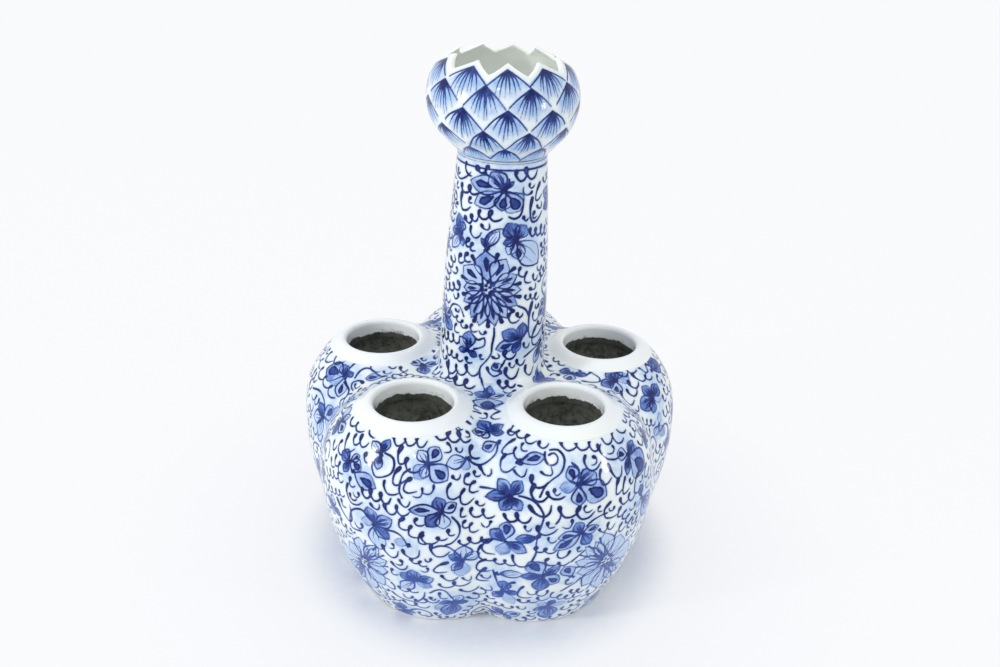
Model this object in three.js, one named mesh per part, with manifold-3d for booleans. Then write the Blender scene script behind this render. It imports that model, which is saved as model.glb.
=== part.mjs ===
// Tulip vase: five porcelain bulbs luted side by side round a leaning column with a lotus-bud mouth.
// Millimetres, +Z up. The origin is on the table, in the middle of the standing face.

import * as THREE from 'three';
import { mergeVertices } from 'three/addons/utils/BufferGeometryUtils.js';
import Module from 'manifold-3d';

const wasm = await Module();
wasm.setup();

// Clearances and walls
const slipGap = 0.3;
const bulbWall = 4.5;
const tubeWall = 4.5;
const floorThickness = 5.5;
const wellFloorThickness = 5;

// Bulbs
const bulbNames = ['front_left', 'front_right', 'right', 'back', 'left'];
const firstBulbAngle = -126;
const rimHeight = 106;
const seamHeight = 46;
const mouthCircleRadius = 57;

// Bulb outline from the table up: the radius, and how far the centre is from the vase's axis
const standRadius = 42.4;
const standOffset = 31.9;
const heelRadius = 47.4;
const heelOffset = 31.2;
const lowerRadius = 53.1;
const lowerOffset = 31.3;
const bellyRadius = 57.3;
const bellyOffset = 33.5;
const upperRadius = 54.8;
const upperOffset = 40;
const shoulderRadius = 45.9;
const shoulderOffset = 48.2;
const neckRadius = 35.7;
const neckOffset = 51.9;

// Mouth rings
const mouthBoreRadius = 17.9;
const mouthRingOuterRadius = 25.2;
const mouthRingHeight = 9;
const mouthRingDrop = 2.5;
const mouthLipRound = 1.8;
const throatStep = 1.2;
const ledgeThickness = 4;

// Column: its foot and the pivot of its lean lie below the rim of the mouths
const columnLean = 1.5;
const columnPivotDrop = 19;
const columnFootDrop = 9;
const columnHeight = 111;
const columnShoulderRise = 14;
const columnTopRadius = 19.9;
const columnShoulderRadius = 25.2;
const columnFootRadius = 29.5;
const columnFootRim = 3.5;
const columnSwell = 0.9;

// Well tube under the column
const wellTubeRadius = 22.5;

// Lotus bud
const budRadius = 33.4;
const budMouthRadius = 22.4;
const budHeight = 42.6;
const budWallAtFoot = 4;
const budWallAtLip = 2.6;
const toothDepth = 4.9;

// Faces round each piece
const bulbFacets = 40;
const cavityFacets = 28;
const ringFacets = 28;
const columnFacets = 36;
const budFacets = 48;
const bulbRows = 11;
const cavityRows = 8;
const columnRows = 7;
const flareRows = 4;
const budRows = 9;

// Each station of a bulb: share of the rim's height, radius, and how far its centre is from the axis.
// The top station is the edge of the mouth ring.
const bulbStations = [
  { share: 0, radius: standRadius, offset: standOffset },
  { share: 0.08, radius: heelRadius, offset: heelOffset },
  { share: 0.2, radius: lowerRadius, offset: lowerOffset },
  { share: 0.4, radius: bellyRadius, offset: bellyOffset },
  { share: 0.6, radius: upperRadius, offset: upperOffset },
  { share: 0.8, radius: shoulderRadius, offset: shoulderOffset },
  { share: 0.92, radius: neckRadius, offset: neckOffset },
];

// Outside of the bud between its foot and the tips of its teeth, as shares of its radius and height.
const budOutline = [
  [0.7395, 0.1174], [0.8982, 0.2582], [0.979, 0.4225], [1, 0.5634],
  [0.973, 0.7042], [0.9102, 0.8216], [0.8263, 0.9014],
];

// Where the hand-cut teeth point, in degrees round the bud from the front, to the right.
const toothAngles = [-71, -30, 3, 38, 77, 105, 142, 172, 208, 247];

const whiteGlaze = new THREE.MeshStandardMaterial({ color: 0xe9eef2, roughness: 0.15, metalness: 0 });
const paintedGlaze = new THREE.MeshStandardMaterial({ color: 0xaebbdc, roughness: 0.15, metalness: 0 });
const barePorcelain = new THREE.MeshStandardMaterial({ color: 0xd9d2c4, roughness: 0.8, metalness: 0 });

const lobeAngle = 360 / bulbNames.length;
const halfLobeAngle = THREE.MathUtils.degToRad(lobeAngle / 2);
const bulbTopHeight = rimHeight - mouthRingDrop;
const ringSeatHeight = rimHeight - mouthRingHeight;
const columnFootHeight = rimHeight - columnFootDrop;
const columnShoulderHeight = columnFootHeight + columnShoulderRise;
const columnTopHeight = columnFootHeight + columnHeight;
const columnPivotHeight = rimHeight - columnPivotDrop;
const cavityTopHeight = ringSeatHeight - ledgeThickness;
const throatRadius = mouthBoreRadius + throatStep;
const wellBoreRadius = wellTubeRadius - tubeWall;
const outsideReach = 4 * (mouthCircleRadius + mouthRingOuterRadius);
const columnTilt = THREE.MathUtils.degToRad(columnLean);

// Solids

// A closed mesh with merged vertices, no empty triangles and its faces pointing out.
function closedGeometry(source) {
  const bare = source.clone();
  bare.deleteAttribute('normal');
  bare.deleteAttribute('uv');
  const merged = mergeVertices(bare, 1e-4);
  const position = merged.getAttribute('position');
  const corners = [new THREE.Vector3(), new THREE.Vector3(), new THREE.Vector3()];
  const faces = [];
  let volume = 0;
  for (let i = 0; i < merged.index.count; i += 3) {
    const face = [0, 1, 2].map((k) => merged.index.getX(i + k));
    if (new Set(face).size < 3) continue;
    corners.forEach((corner, k) => corner.fromBufferAttribute(position, face[k]));
    volume += corners[0].dot(corners[1].clone().cross(corners[2])) / 6;
    faces.push(face);
  }
  if (volume < 0) faces.forEach((face) => face.reverse());
  merged.setIndex(faces.flat());
  return merged;
}

function toSolid(geometry) {
  const closed = closedGeometry(geometry);
  return new wasm.Manifold(new wasm.Mesh({
    numProp: 3,
    vertProperties: new Float32Array(closed.getAttribute('position').array),
    triVerts: new Uint32Array(closed.index.array),
  }));
}

function toGeometry(solid) {
  const mesh = solid.getMesh();
  const geometry = new THREE.BufferGeometry();
  geometry.setAttribute('position', new THREE.BufferAttribute(new Float32Array(mesh.vertProperties), 3));
  geometry.setIndex(new THREE.BufferAttribute(new Uint32Array(mesh.triVerts), 1));
  geometry.computeVertexNormals();
  return geometry;
}

// A turned solid from a profile of [radius, height] points, standing on +Z.
function turned(profile, facets) {
  const points = profile.map(([radius, height]) => new THREE.Vector2(radius, height));
  return new THREE.LatheGeometry(points, facets).rotateX(Math.PI / 2);
}

// A turned tube or ring whose profile closes on itself.
function turnedRing(profile, facets) {
  return turned([...profile, profile[0]], facets);
}

function upright(radius, bottom, top, facets) {
  return turned([[0, bottom], [radius, bottom], [radius, top], [0, top]], facets);
}

// The leaning frame that the column and the bud share.
function lean(geometry) {
  geometry.translate(0, 0, -columnPivotHeight);
  geometry.rotateY(columnTilt);
  geometry.translate(0, 0, columnPivotHeight);
  return geometry;
}

// Bulbs

// Smooth curve through the stations at one height: cubic pieces with slopes from the neighbours.
function bulbAt(height) {
  const rows = bulbStations.map(({ share, radius, offset }) => [share * rimHeight, radius, offset]);
  rows.push([bulbTopHeight, mouthRingOuterRadius, mouthCircleRadius]);
  const last = rows.length - 1;
  const slope = (i, k) => {
    const low = rows[Math.max(i - 1, 0)];
    const high = rows[Math.min(i + 1, last)];
    return (high[k] - low[k]) / (high[0] - low[0]);
  };
  let i = 0;
  while (i < last - 1 && height > rows[i + 1][0]) i += 1;
  const span = rows[i + 1][0] - rows[i][0];
  const t = THREE.MathUtils.clamp((height - rows[i][0]) / span, 0, 1);
  const blend = (k) => {
    const rise = t * t * (3 - 2 * t);
    const start = t * (1 - t) * (1 - t) * span * slope(i, k);
    const end = t * t * (t - 1) * span * slope(i + 1, k);
    return rows[i][k] * (1 - rise) + rows[i + 1][k] * rise + start + end;
  };
  return { radius: blend(1), offset: blend(2) };
}

// A whole bulb, leaning outwards as its centres do, with its axis plane on +X.
function bulb(inset, bottom, top, rows, facets) {
  const heights = Array.from({ length: rows }, (_, i) => bottom + ((top - bottom) * i) / (rows - 1));
  const profile = heights.map((height) => [bulbAt(height).radius - inset, height]);
  const shape = turned([[0, bottom], ...profile, [0, top]], facets);
  const position = shape.getAttribute('position');
  for (let i = 0; i < position.count; i += 1) {
    position.setX(i, position.getX(i) + bulbAt(position.getZ(i)).offset);
  }
  return toSolid(shape);
}

// The slice of the vase that one bulb owns, with its two flat sides set back by the inset.
function slice(inset) {
  const tip = inset / Math.sin(halfLobeAngle);
  const shape = new THREE.Shape();
  shape.moveTo(tip, 0);
  shape.lineTo(tip + outsideReach * Math.cos(halfLobeAngle), -outsideReach * Math.sin(halfLobeAngle));
  shape.lineTo(tip + outsideReach * Math.cos(halfLobeAngle), outsideReach * Math.sin(halfLobeAngle));
  shape.closePath();
  const depth = rimHeight + 2 * outsideReach;
  const wedge = new THREE.ExtrudeGeometry(shape, { depth, bevelEnabled: false });
  return toSolid(wedge.translate(0, 0, -outsideReach));
}

// The room that the column's foot takes out of the bulbs and of the well tube, in the vase's own frame.
function columnSeat() {
  const seat = upright(columnFootRadius + slipGap, columnFootHeight - slipGap, 2 * rimHeight, columnFacets);
  return lean(seat);
}

function halfSpace(bottom, top) {
  const box = new THREE.BoxGeometry(2 * outsideReach, 2 * outsideReach, top - bottom);
  return toSolid(box.translate(0, 0, (bottom + top) / 2));
}

// One bulb with its cavity, its mouth and the seats of its neighbours, in its own turned frame.
function bulbShell(angle) {
  const outside = bulb(0, 0, bulbTopHeight, bulbRows, bulbFacets).intersect(slice(slipGap / 2));
  const wellSide = toSolid(upright(wellTubeRadius + slipGap + bulbWall, -1, rimHeight, cavityFacets));
  const cavity = bulb(bulbWall, floorThickness, cavityTopHeight, cavityRows, cavityFacets)
    .intersect(slice(slipGap / 2 + bulbWall))
    .subtract(wellSide);
  const wellRoom = toSolid(upright(wellTubeRadius + slipGap, -1, 2 * rimHeight, columnFacets));
  const ringRoom = upright(mouthRingOuterRadius + slipGap, ringSeatHeight, 2 * rimHeight, ringFacets);
  const throat = upright(throatRadius, cavityTopHeight - 1, rimHeight, ringFacets);
  const seat = columnSeat().rotateZ(-angle);
  return outside
    .subtract(cavity)
    .subtract(wellRoom)
    .subtract(toSolid(ringRoom.translate(mouthCircleRadius, 0, 0)))
    .subtract(toSolid(throat.translate(mouthCircleRadius, 0, 0)))
    .subtract(toSolid(seat));
}

function mouthRingGeometry() {
  const lipInner = new THREE.Vector2(mouthBoreRadius, rimHeight - mouthLipRound);
  const lipCrown = new THREE.Vector2(mouthBoreRadius + mouthLipRound, rimHeight);
  const lipCorner = new THREE.Vector2(mouthBoreRadius, rimHeight);
  const outerCorner = new THREE.Vector2(mouthRingOuterRadius, rimHeight);
  const outerEdge = new THREE.Vector2(mouthRingOuterRadius, rimHeight - mouthRingDrop);
  const lip = new THREE.QuadraticBezierCurve(lipInner, lipCorner, lipCrown).getPoints(2);
  const shoulder = new THREE.QuadraticBezierCurve(lipCrown, outerCorner, outerEdge).getPoints(3);
  const inwards = [...lip, ...shoulder.slice(1)].reverse().map(({ x, y }) => [x, y]);
  return turnedRing([
    [mouthBoreRadius, ringSeatHeight],
    [mouthRingOuterRadius, ringSeatHeight],
    ...inwards,
  ], ringFacets);
}

// Column and well

function columnGeometry() {
  const flareStart = columnFootHeight + columnFootRim;
  const flare = new THREE.QuadraticBezierCurve(
    new THREE.Vector2(columnFootRadius, flareStart),
    new THREE.Vector2(columnShoulderRadius, flareStart),
    new THREE.Vector2(columnShoulderRadius, columnShoulderHeight),
  ).getPoints(flareRows).map(({ x, y }) => [x, y]);
  const shaftAt = (share, drawIn) => {
    const straight = THREE.MathUtils.lerp(columnShoulderRadius, columnTopRadius, share);
    return straight + columnSwell * Math.sin(Math.PI * share) - drawIn;
  };
  const rows = Array.from({ length: columnRows }, (_, i) => i / (columnRows - 1));
  const heightAt = (share) => THREE.MathUtils.lerp(columnShoulderHeight, columnTopHeight, share);
  const shaft = rows.slice(1).map((share) => [shaftAt(share, 0), heightAt(share)]);
  const bore = rows.filter((_, i) => i % 2 === 0).reverse()
    .map((share) => [shaftAt(share, tubeWall), heightAt(share)]);
  return lean(turnedRing([
    [wellBoreRadius, columnFootHeight],
    [columnFootRadius, columnFootHeight],
    ...flare,
    ...shaft,
    ...bore,
  ], columnFacets));
}

function wellTubeGeometry() {
  const tube = toSolid(turnedRing([
    [wellBoreRadius, wellFloorThickness],
    [wellTubeRadius, wellFloorThickness],
    [wellTubeRadius, rimHeight],
    [wellBoreRadius, rimHeight],
  ], columnFacets));
  return toGeometry(tube.subtract(toSolid(columnSeat())));
}

function wellFloorGeometry() {
  const disc = new THREE.Shape().absarc(0, 0, wellTubeRadius, 0, 2 * Math.PI);
  const curveSegments = columnFacets;
  return new THREE.ExtrudeGeometry(disc, { depth: wellFloorThickness, bevelEnabled: false, curveSegments });
}

// Lotus bud

// A V-shaped cut between two teeth, pointing down, from the axis outwards along -Y.
function notch(lip, halfWidth, reach) {
  const overshoot = 1.5;
  const bottom = lip - toothDepth;
  const top = bottom + toothDepth * overshoot;
  const shape = new THREE.Shape();
  shape.moveTo(0, bottom);
  shape.lineTo(halfWidth * overshoot, top);
  shape.lineTo(-halfWidth * overshoot, top);
  shape.closePath();
  return new THREE.ExtrudeGeometry(shape, { depth: reach, bevelEnabled: false }).rotateX(Math.PI / 2);
}

function budGeometry() {
  const foot = columnTopHeight + slipGap;
  const curve = new THREE.SplineCurve([
    new THREE.Vector2(columnTopRadius, foot),
    ...budOutline.map(([across, up]) => new THREE.Vector2(across * budRadius, foot + up * budHeight)),
    new THREE.Vector2(budMouthRadius, foot + budHeight),
  ]);
  const outer = curve.getPoints(budRows).map(({ x, y }) => [x, y]);
  const inner = outer.map(([radius, height], i) => {
    const wall = THREE.MathUtils.lerp(budWallAtFoot, budWallAtLip, i / budRows);
    return [radius - wall, height];
  });
  const [lipRadius, lip] = outer[budRows];
  let bud = toSolid(turnedRing([...outer, ...inner.reverse()], budFacets));
  toothAngles.forEach((start, i) => {
    const end = i + 1 < toothAngles.length ? toothAngles[i + 1] : toothAngles[0] + 360;
    const halfWidth = lipRadius * Math.sin(THREE.MathUtils.degToRad((end - start) / 2));
    const cut = notch(lip, halfWidth, 2 * lipRadius);
    bud = bud.subtract(toSolid(cut.rotateZ(THREE.MathUtils.degToRad((start + end) / 2))));
  });
  return lean(toGeometry(bud));
}

// Assembly

function named(name, geometry, material) {
  const mesh = new THREE.Mesh(geometry, material);
  mesh.name = name;
  return mesh;
}

const group = new THREE.Group();

bulbNames.forEach((name, i) => {
  const angle = THREE.MathUtils.degToRad(firstBulbAngle + lobeAngle * i);
  const shell = bulbShell(angle);
  const lobe = new THREE.Group();
  lobe.rotation.z = angle;
  const upper = shell.intersect(halfSpace(seamHeight, 2 * rimHeight));
  const lower = shell.intersect(halfSpace(-outsideReach, seamHeight));
  lobe.add(named(`bulb_upper_${name}`, toGeometry(upper), paintedGlaze));
  lobe.add(named(`bulb_lower_${name}`, toGeometry(lower), paintedGlaze));
  const ring = named(`mouth_ring_${name}`, mouthRingGeometry(), whiteGlaze);
  ring.position.x = mouthCircleRadius;
  lobe.add(ring);
  group.add(lobe);
});

group.add(named('well_floor', wellFloorGeometry(), barePorcelain));
group.add(named('well_tube', wellTubeGeometry(), barePorcelain));
group.add(named('column', columnGeometry(), paintedGlaze));
group.add(named('lotus_bud', budGeometry(), paintedGlaze));

export default group;
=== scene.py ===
"""Tulip vase in blue-and-white porcelain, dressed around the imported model.

Sizes in this file are millimetres, and a finished mesh is scaled to metres. The vase stands on z = 0 with its
front towards -Y. The blue is brushed onto the meshes as point attributes, which the glaze's shader reads.
"""

import logging
import math
from collections.abc import Callable
from dataclasses import dataclass, field
from enum import Enum

import bmesh
import bpy
import numpy as np
from mathutils import Matrix, Vector


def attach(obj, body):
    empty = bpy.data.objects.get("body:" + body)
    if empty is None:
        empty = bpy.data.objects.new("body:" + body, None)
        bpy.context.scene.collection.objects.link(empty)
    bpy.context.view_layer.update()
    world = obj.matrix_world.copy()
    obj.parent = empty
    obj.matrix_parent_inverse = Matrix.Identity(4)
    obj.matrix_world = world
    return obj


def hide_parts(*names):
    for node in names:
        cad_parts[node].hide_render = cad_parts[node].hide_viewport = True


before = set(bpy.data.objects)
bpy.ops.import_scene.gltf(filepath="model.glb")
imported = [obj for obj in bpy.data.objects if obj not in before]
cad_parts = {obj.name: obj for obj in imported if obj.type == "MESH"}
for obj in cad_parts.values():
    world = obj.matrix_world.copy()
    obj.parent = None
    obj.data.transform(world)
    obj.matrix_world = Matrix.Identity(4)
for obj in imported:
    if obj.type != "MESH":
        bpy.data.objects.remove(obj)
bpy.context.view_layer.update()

METRES = 0.001
BODY = "root"
UP = np.array([0.0, 0.0, 1.0])
Array = np.ndarray
Pair = tuple[float, float]
Mesh = bpy.types.Mesh
BMesh = bmesh.types.BMesh
log = logging.getLogger("tulip_vase")


# Small helpers


def smooth_share(values: Array, low: float, high: float) -> Array:
    """Return 0 below low, 1 above high and a smooth rise between them."""
    share = np.clip((values - low) / (high - low), 0.0, 1.0)
    return share * share * (3.0 - 2.0 * share)


def rows_of(*columns: Array) -> Array:
    """Return columns of numbers as rows."""
    return np.stack(columns, axis=1)


def evenly(curve: Array, count: int) -> Array:
    """Lay points along a curve at equal steps of its length.

    Args:
        curve: Points of the curve, one a row.
        count: How many points to return.

    Returns:
        The new points, the first and last where the curve starts and ends.
    """
    steps = np.linalg.norm(np.diff(curve, axis=0), axis=1)
    along = np.concatenate([[0.0], np.cumsum(steps)])
    wanted = np.linspace(0.0, along[-1], count)
    return np.stack([np.interp(wanted, along, curve[:, k]) for k in range(curve.shape[1])], axis=1)


def through(points: list[tuple[float, ...]], steps: int) -> Array:
    """Draw a smooth curve through points.

    Args:
        points: The points, of two or three numbers each.
        steps: How many steps each span gets.

    Returns:
        Points of a uniform Catmull-Rom curve.
    """
    knots = np.array(points, float)
    padded = np.vstack([knots[:1], knots, knots[-1:]])
    share = np.linspace(0.0, 1.0, steps, endpoint=False)[:, None]
    spans = []
    for before, start, end, after in zip(padded, padded[1:], padded[2:], padded[3:]):
        v0, v1 = (end - before) / 2, (after - start) / 2
        cubic = (2 * start - 2 * end + v0 + v1) * share**3
        square = (-3 * start + 3 * end - 2 * v0 - v1) * share**2
        spans.append(cubic + square + v0 * share + start)
    return np.vstack([*spans, knots[-1:]])


def blended_least(a: Array, b: Array, reach: Array | float) -> Array:
    """Return the smaller of two distances, rounded where they are within reach of each other."""
    near = np.clip(reach - np.abs(a - b), 0.0, None) / reach
    return np.minimum(a, b) - near * near * reach / 4


def turned(profile: Array, segments: int, sectors: int) -> BMesh:
    """Turn a profile round the Z axis.

    Args:
        profile: Points as [radius, height], in order.
        segments: Faces round the piece, a multiple of sectors.
        sectors: How many equal copies of one spun sector make the round.

    Returns:
        A new bmesh, closed where it meets itself and at its poles.
    """
    bm = bmesh.new()
    verts = [bm.verts.new((radius, 0.0, height)) for radius, height in profile]
    for low, high in zip(verts, verts[1:]):
        bm.edges.new((low, high))
    axis = {"cent": (0, 0, 0), "axis": (0, 0, 1), "dvec": (0, 0, 0)}
    sector = 2 * math.pi / sectors
    first = bm.verts[:] + bm.edges[:]
    bmesh.ops.spin(bm, geom=first, angle=sector, steps=segments // sectors, use_duplicate=False, **axis)
    one = bm.verts[:] + bm.edges[:] + bm.faces[:]
    bmesh.ops.spin(bm, geom=one, angle=sector * (sectors - 1), steps=sectors - 1, use_duplicate=True, **axis)
    bmesh.ops.remove_doubles(bm, verts=bm.verts, dist=0.002)
    return bm


def shade(bm: BMesh, sharp: float) -> None:
    """Shade a body smooth, but for edges between two materials and edges that turn by more than an angle.

    Args:
        bm: The body.
        sharp: The angle, in radians.
    """
    for face in bm.faces:
        face.smooth = True
    for edge in bm.edges:
        same = len({face.material_index for face in edge.link_faces}) == 1
        edge.smooth = same and edge.calc_face_angle(0.0) < sharp


def made_mesh(bm: BMesh, name: str) -> Mesh:
    """Return a body as a mesh."""
    mesh = bpy.data.meshes.new(name)
    bm.to_mesh(mesh)
    bm.free()
    return mesh


def values_of(items: bpy.types.bpy_prop_collection, name: str, kind: type, width: int = 1) -> Array:
    """Read one property of all of a mesh's items.

    Args:
        items: The mesh's points, faces, corners or normals.
        name: The property's name.
        kind: The kind of its numbers.
        width: How many numbers it has.

    Returns:
        The numbers, in rows where an item has more than one.
    """
    values = np.empty(len(items) * width, kind)
    items.foreach_get(name, values)
    return values if width == 1 else values.reshape(-1, width).astype(float)


def coordinates(mesh: Mesh) -> Array:
    """Return the mesh's points, one a row."""
    return values_of(mesh.vertices, "co", np.float32, 3)


def move_points(mesh: Mesh, points: Array) -> None:
    """Put the mesh's points where the rows say."""
    mesh.vertices.foreach_set("co", points.astype(np.float32).ravel())
    mesh.update()


def face_corners(mesh: Mesh) -> tuple[Array, Array]:
    """Return the point and the face of each corner of the mesh's faces."""
    owner = np.repeat(np.arange(len(mesh.polygons)), values_of(mesh.polygons, "loop_total", np.int32))
    return values_of(mesh.loops, "vertex_index", np.int32), owner


def painted_points(mesh: Mesh) -> Array:
    """Return the indices of the points on faces of the first material."""
    painted = np.zeros(len(mesh.vertices), bool)
    corners, owner = face_corners(mesh)
    painted[corners[values_of(mesh.polygons, "material_index", np.int32)[owner] == 0]] = True
    return np.nonzero(painted)[0]


def linked(name: str, data: bpy.types.ID) -> bpy.types.Object:
    """Return a new object in the scene."""
    made = bpy.data.objects.new(name, data)
    bpy.context.scene.collection.objects.link(made)
    return made


def finish_piece(mesh: Mesh, name: str, nodes: list[str]) -> None:
    """Make a piece, riding on the vase's body, of a mesh that is in metres and in place.

    Args:
        mesh: The mesh.
        name: Name of the piece.
        nodes: CAD nodes that the piece stands for.
    """
    piece = linked(name, mesh)
    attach(piece, BODY)
    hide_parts(*nodes)
    log.info("%s: %d faces, stands for %s", name, len(mesh.polygons), ", ".join(nodes))


# Shapes that the pieces share


@dataclass
class BulbOutline:
    """Radius of a bulb and how far its centre is from the vase's axis, by height."""

    rim_height: float = 106.0
    top_height: float = 103.5
    mouth_offset: float = 57.0
    mouth_edge: float = 25.2
    crown_radius: float = 19.6
    crown_height: float = 106.6
    stations: tuple[tuple[float, float, float], ...] = (
        (0.0, 39.2, 35.1),
        (0.08, 45.3, 33.3),
        (0.2, 52.6, 31.8),
        (0.4, 57.3, 33.5),
        (0.6, 54.74, 40.0),
        (0.8, 45.9, 48.2),
        (0.92, 35.7, 51.9),
    )

    def rows(self) -> Array:
        """Return the stations as [height, radius, offset], the edge of the mouth last."""
        low = [(share * self.rim_height, radius, offset) for share, radius, offset in self.stations]
        return np.array([*low, (self.top_height, self.mouth_edge, self.mouth_offset)])

    def at(self, heights: Array) -> tuple[Array, Array]:
        """Work out the bulb at some heights.

        Args:
            heights: The heights.

        Returns:
            The radius and the offset at each height.
        """
        rows = self.rows()
        last = len(rows) - 1
        ahead = np.minimum(np.arange(last + 1) + 1, last)
        behind = np.maximum(np.arange(last + 1) - 1, 0)
        slopes = (rows[ahead, 1:] - rows[behind, 1:]) / (rows[ahead, :1] - rows[behind, :1])
        i = np.clip(np.searchsorted(rows[:, 0], heights, side="left") - 1, 0, last - 1)
        span = rows[i + 1, 0] - rows[i, 0]
        t = np.clip((heights - rows[i, 0]) / span, 0.0, 1.0)
        rise = t * t * (3 - 2 * t)
        start, end = t * (1 - t) * (1 - t) * span, t * t * (t - 1) * span
        found = [
            rows[i, k] * (1 - rise) + rows[i + 1, k] * rise + start * slopes[i, k - 1] + end * slopes[i + 1, k - 1]
            for k in (1, 2)
        ]
        return found[0], found[1]

    def wall(self, bottom: float, top: float, inset: float, count: int) -> Array:
        """Return a wall's profile as [radius, height], evenly spaced."""
        heights = np.linspace(bottom, top, 400)
        return evenly(rows_of(self.at(heights)[0] - inset, heights), count)

    def lip(self, count: int) -> Array:
        """Return the top of the mouth ring from its crown out to the bulb's skin, as [radius, height]."""
        heights = np.array([self.top_height - 0.4, self.top_height])
        radii = self.at(heights)[0]
        slope = (heights[1] - heights[0]) / (radii[1] - radii[0])
        start, end = (self.crown_radius, self.crown_height), (radii[0], heights[0])
        span = end[0] - start[0]
        t = np.linspace(0, 1, count)
        rise = t * t * (3 - 2 * t)
        height = start[1] + (end[1] - start[1]) * rise + t * t * (t - 1) * span * slope
        return rows_of(start[0] + span * t, height)


@dataclass
class ColumnOutline:
    """The column's radius by height, upright, and the lean that it shares with the bud."""

    top_height: float = 208.0
    top_radius: float = 19.9
    shoulder_height: float = 111.0
    shoulder_radius: float = 25.2
    swell: float = 0.9
    spread: float = 0.05
    lean: float = math.radians(1.5)
    pivot_height: float = 87.0
    lean_start: float = 101.0
    lean_end: float = 114.0

    def radius(self, heights: Array) -> Array:
        """Return the outside radius at each height, carried on below the shoulder as a slight cone."""
        share = (heights - self.shoulder_height) / (self.top_height - self.shoulder_height)
        inside = np.clip(share, 0.0, 1.0)
        straight = self.shoulder_radius + (self.top_radius - self.shoulder_radius) * inside
        below = np.clip(self.shoulder_height - heights, 0.0, None) * self.spread
        return straight + self.swell * np.sin(math.pi * inside) + below

    def leaned(self, points: Array) -> Array:
        """Lean points towards +X about the pivot, easing in just above the bulbs."""
        angle = self.lean * smooth_share(points[:, 2], self.lean_start, self.lean_end)
        up = points[:, 2] - self.pivot_height
        moved = points.copy()
        moved[:, 0] = points[:, 0] * np.cos(angle) + up * np.sin(angle)
        moved[:, 2] = self.pivot_height + up * np.cos(angle) - points[:, 0] * np.sin(angle)
        return moved


@dataclass
class BodySurface:
    """The glazed outside of bulbs and column as one surface, with soft creases where they meet."""

    bulbs: BulbOutline
    column: ColumnOutline
    crease_reach: float = 7.0
    crease_reach_low: float = 1.6
    crease_heights: Pair = (10.0, 58.0)
    foot_reach: float = 8.0
    lobe_angle: float = math.radians(72.0)
    first_angle: float = math.radians(-126.0)
    probe: float = 0.05

    def __post_init__(self) -> None:
        """Draw the bulb's whole section once."""
        wall = self.bulbs.wall(0.0, self.bulbs.top_height, 0.0, 40)
        lip = self.bulbs.lip(8)[::-1]
        below = [(wall[0, 0], wall[0, 1] - 20.0)]
        self.section = np.vstack([below, wall, lip[1:]])

    def bulb_angle(self, place: int) -> float:
        """Return the direction of a bulb by its place round the vase, in radians."""
        return self.first_angle + place * self.lobe_angle

    def bulb_distance(self, points: Array, turns: int) -> Array:
        """Measure the distance to one bulb.

        Args:
            points: Points in the frame of a bulb whose middle plane is y = 0.
            turns: How many bulbs further round the measured bulb stands.

        Returns:
            Signed distances, below 0 inside.
        """
        angle = -turns * self.lobe_angle
        x = points[:, 0] * math.cos(angle) - points[:, 1] * math.sin(angle)
        y = points[:, 0] * math.sin(angle) + points[:, 1] * math.cos(angle)
        z = points[:, 2]
        offset = self.bulbs.at(np.clip(z, 0.0, self.bulbs.top_height))[1]
        across = np.hypot(x - offset, y)
        least = np.full(len(points), 1e9)
        for (r0, z0), (r1, z1) in zip(self.section, self.section[1:]):
            dr, dz = r1 - r0, z1 - z0
            t = np.clip(((across - r0) * dr + (z - z0) * dz) / (dr * dr + dz * dz), 0.0, 1.0)
            least = np.minimum(least, np.hypot(across - r0 - t * dr, z - z0 - t * dz))
        inside = (across < np.interp(z, self.section[:, 1], self.section[:, 0])) & (z < self.bulbs.rim_height)
        return np.where(inside, -least, least)

    def distance(self, points: Array) -> Array:
        """Return signed distances to the whole outside, near a bulb whose middle plane is y = 0."""
        own = self.bulb_distance(points, 0)
        softer = smooth_share(points[:, 2], *self.crease_heights)
        reach = self.crease_reach_low + (self.crease_reach - self.crease_reach_low) * softer
        for turns in (-1, 1):
            own = blended_least(own, self.bulb_distance(points, turns), reach)
        return blended_least(own, self.column_distance(points), self.foot_reach)

    def column_distance(self, points: Array) -> Array:
        """Return signed distances to the upright column."""
        return np.hypot(points[:, 0], points[:, 1]) - self.column.radius(points[:, 2])

    def settle(self, points: Array, height: float, rounds: int) -> Array:
        """Move points straight out or in until they lie on the surface.

        Args:
            points: Points near the surface.
            height: How far above the surface they end.
            rounds: How many steps to take.

        Returns:
            The moved points.
        """
        placed = points.copy()
        for _ in range(rounds):
            here = self.distance(placed)
            slope = np.empty_like(placed)
            for k in range(3):
                moved = placed.copy()
                moved[:, k] += self.probe
                slope[:, k] = (self.distance(moved) - here) / self.probe
            placed -= ((here - height) / np.maximum((slope**2).sum(1), 0.25))[:, None] * slope
        return placed


# Camera


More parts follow.
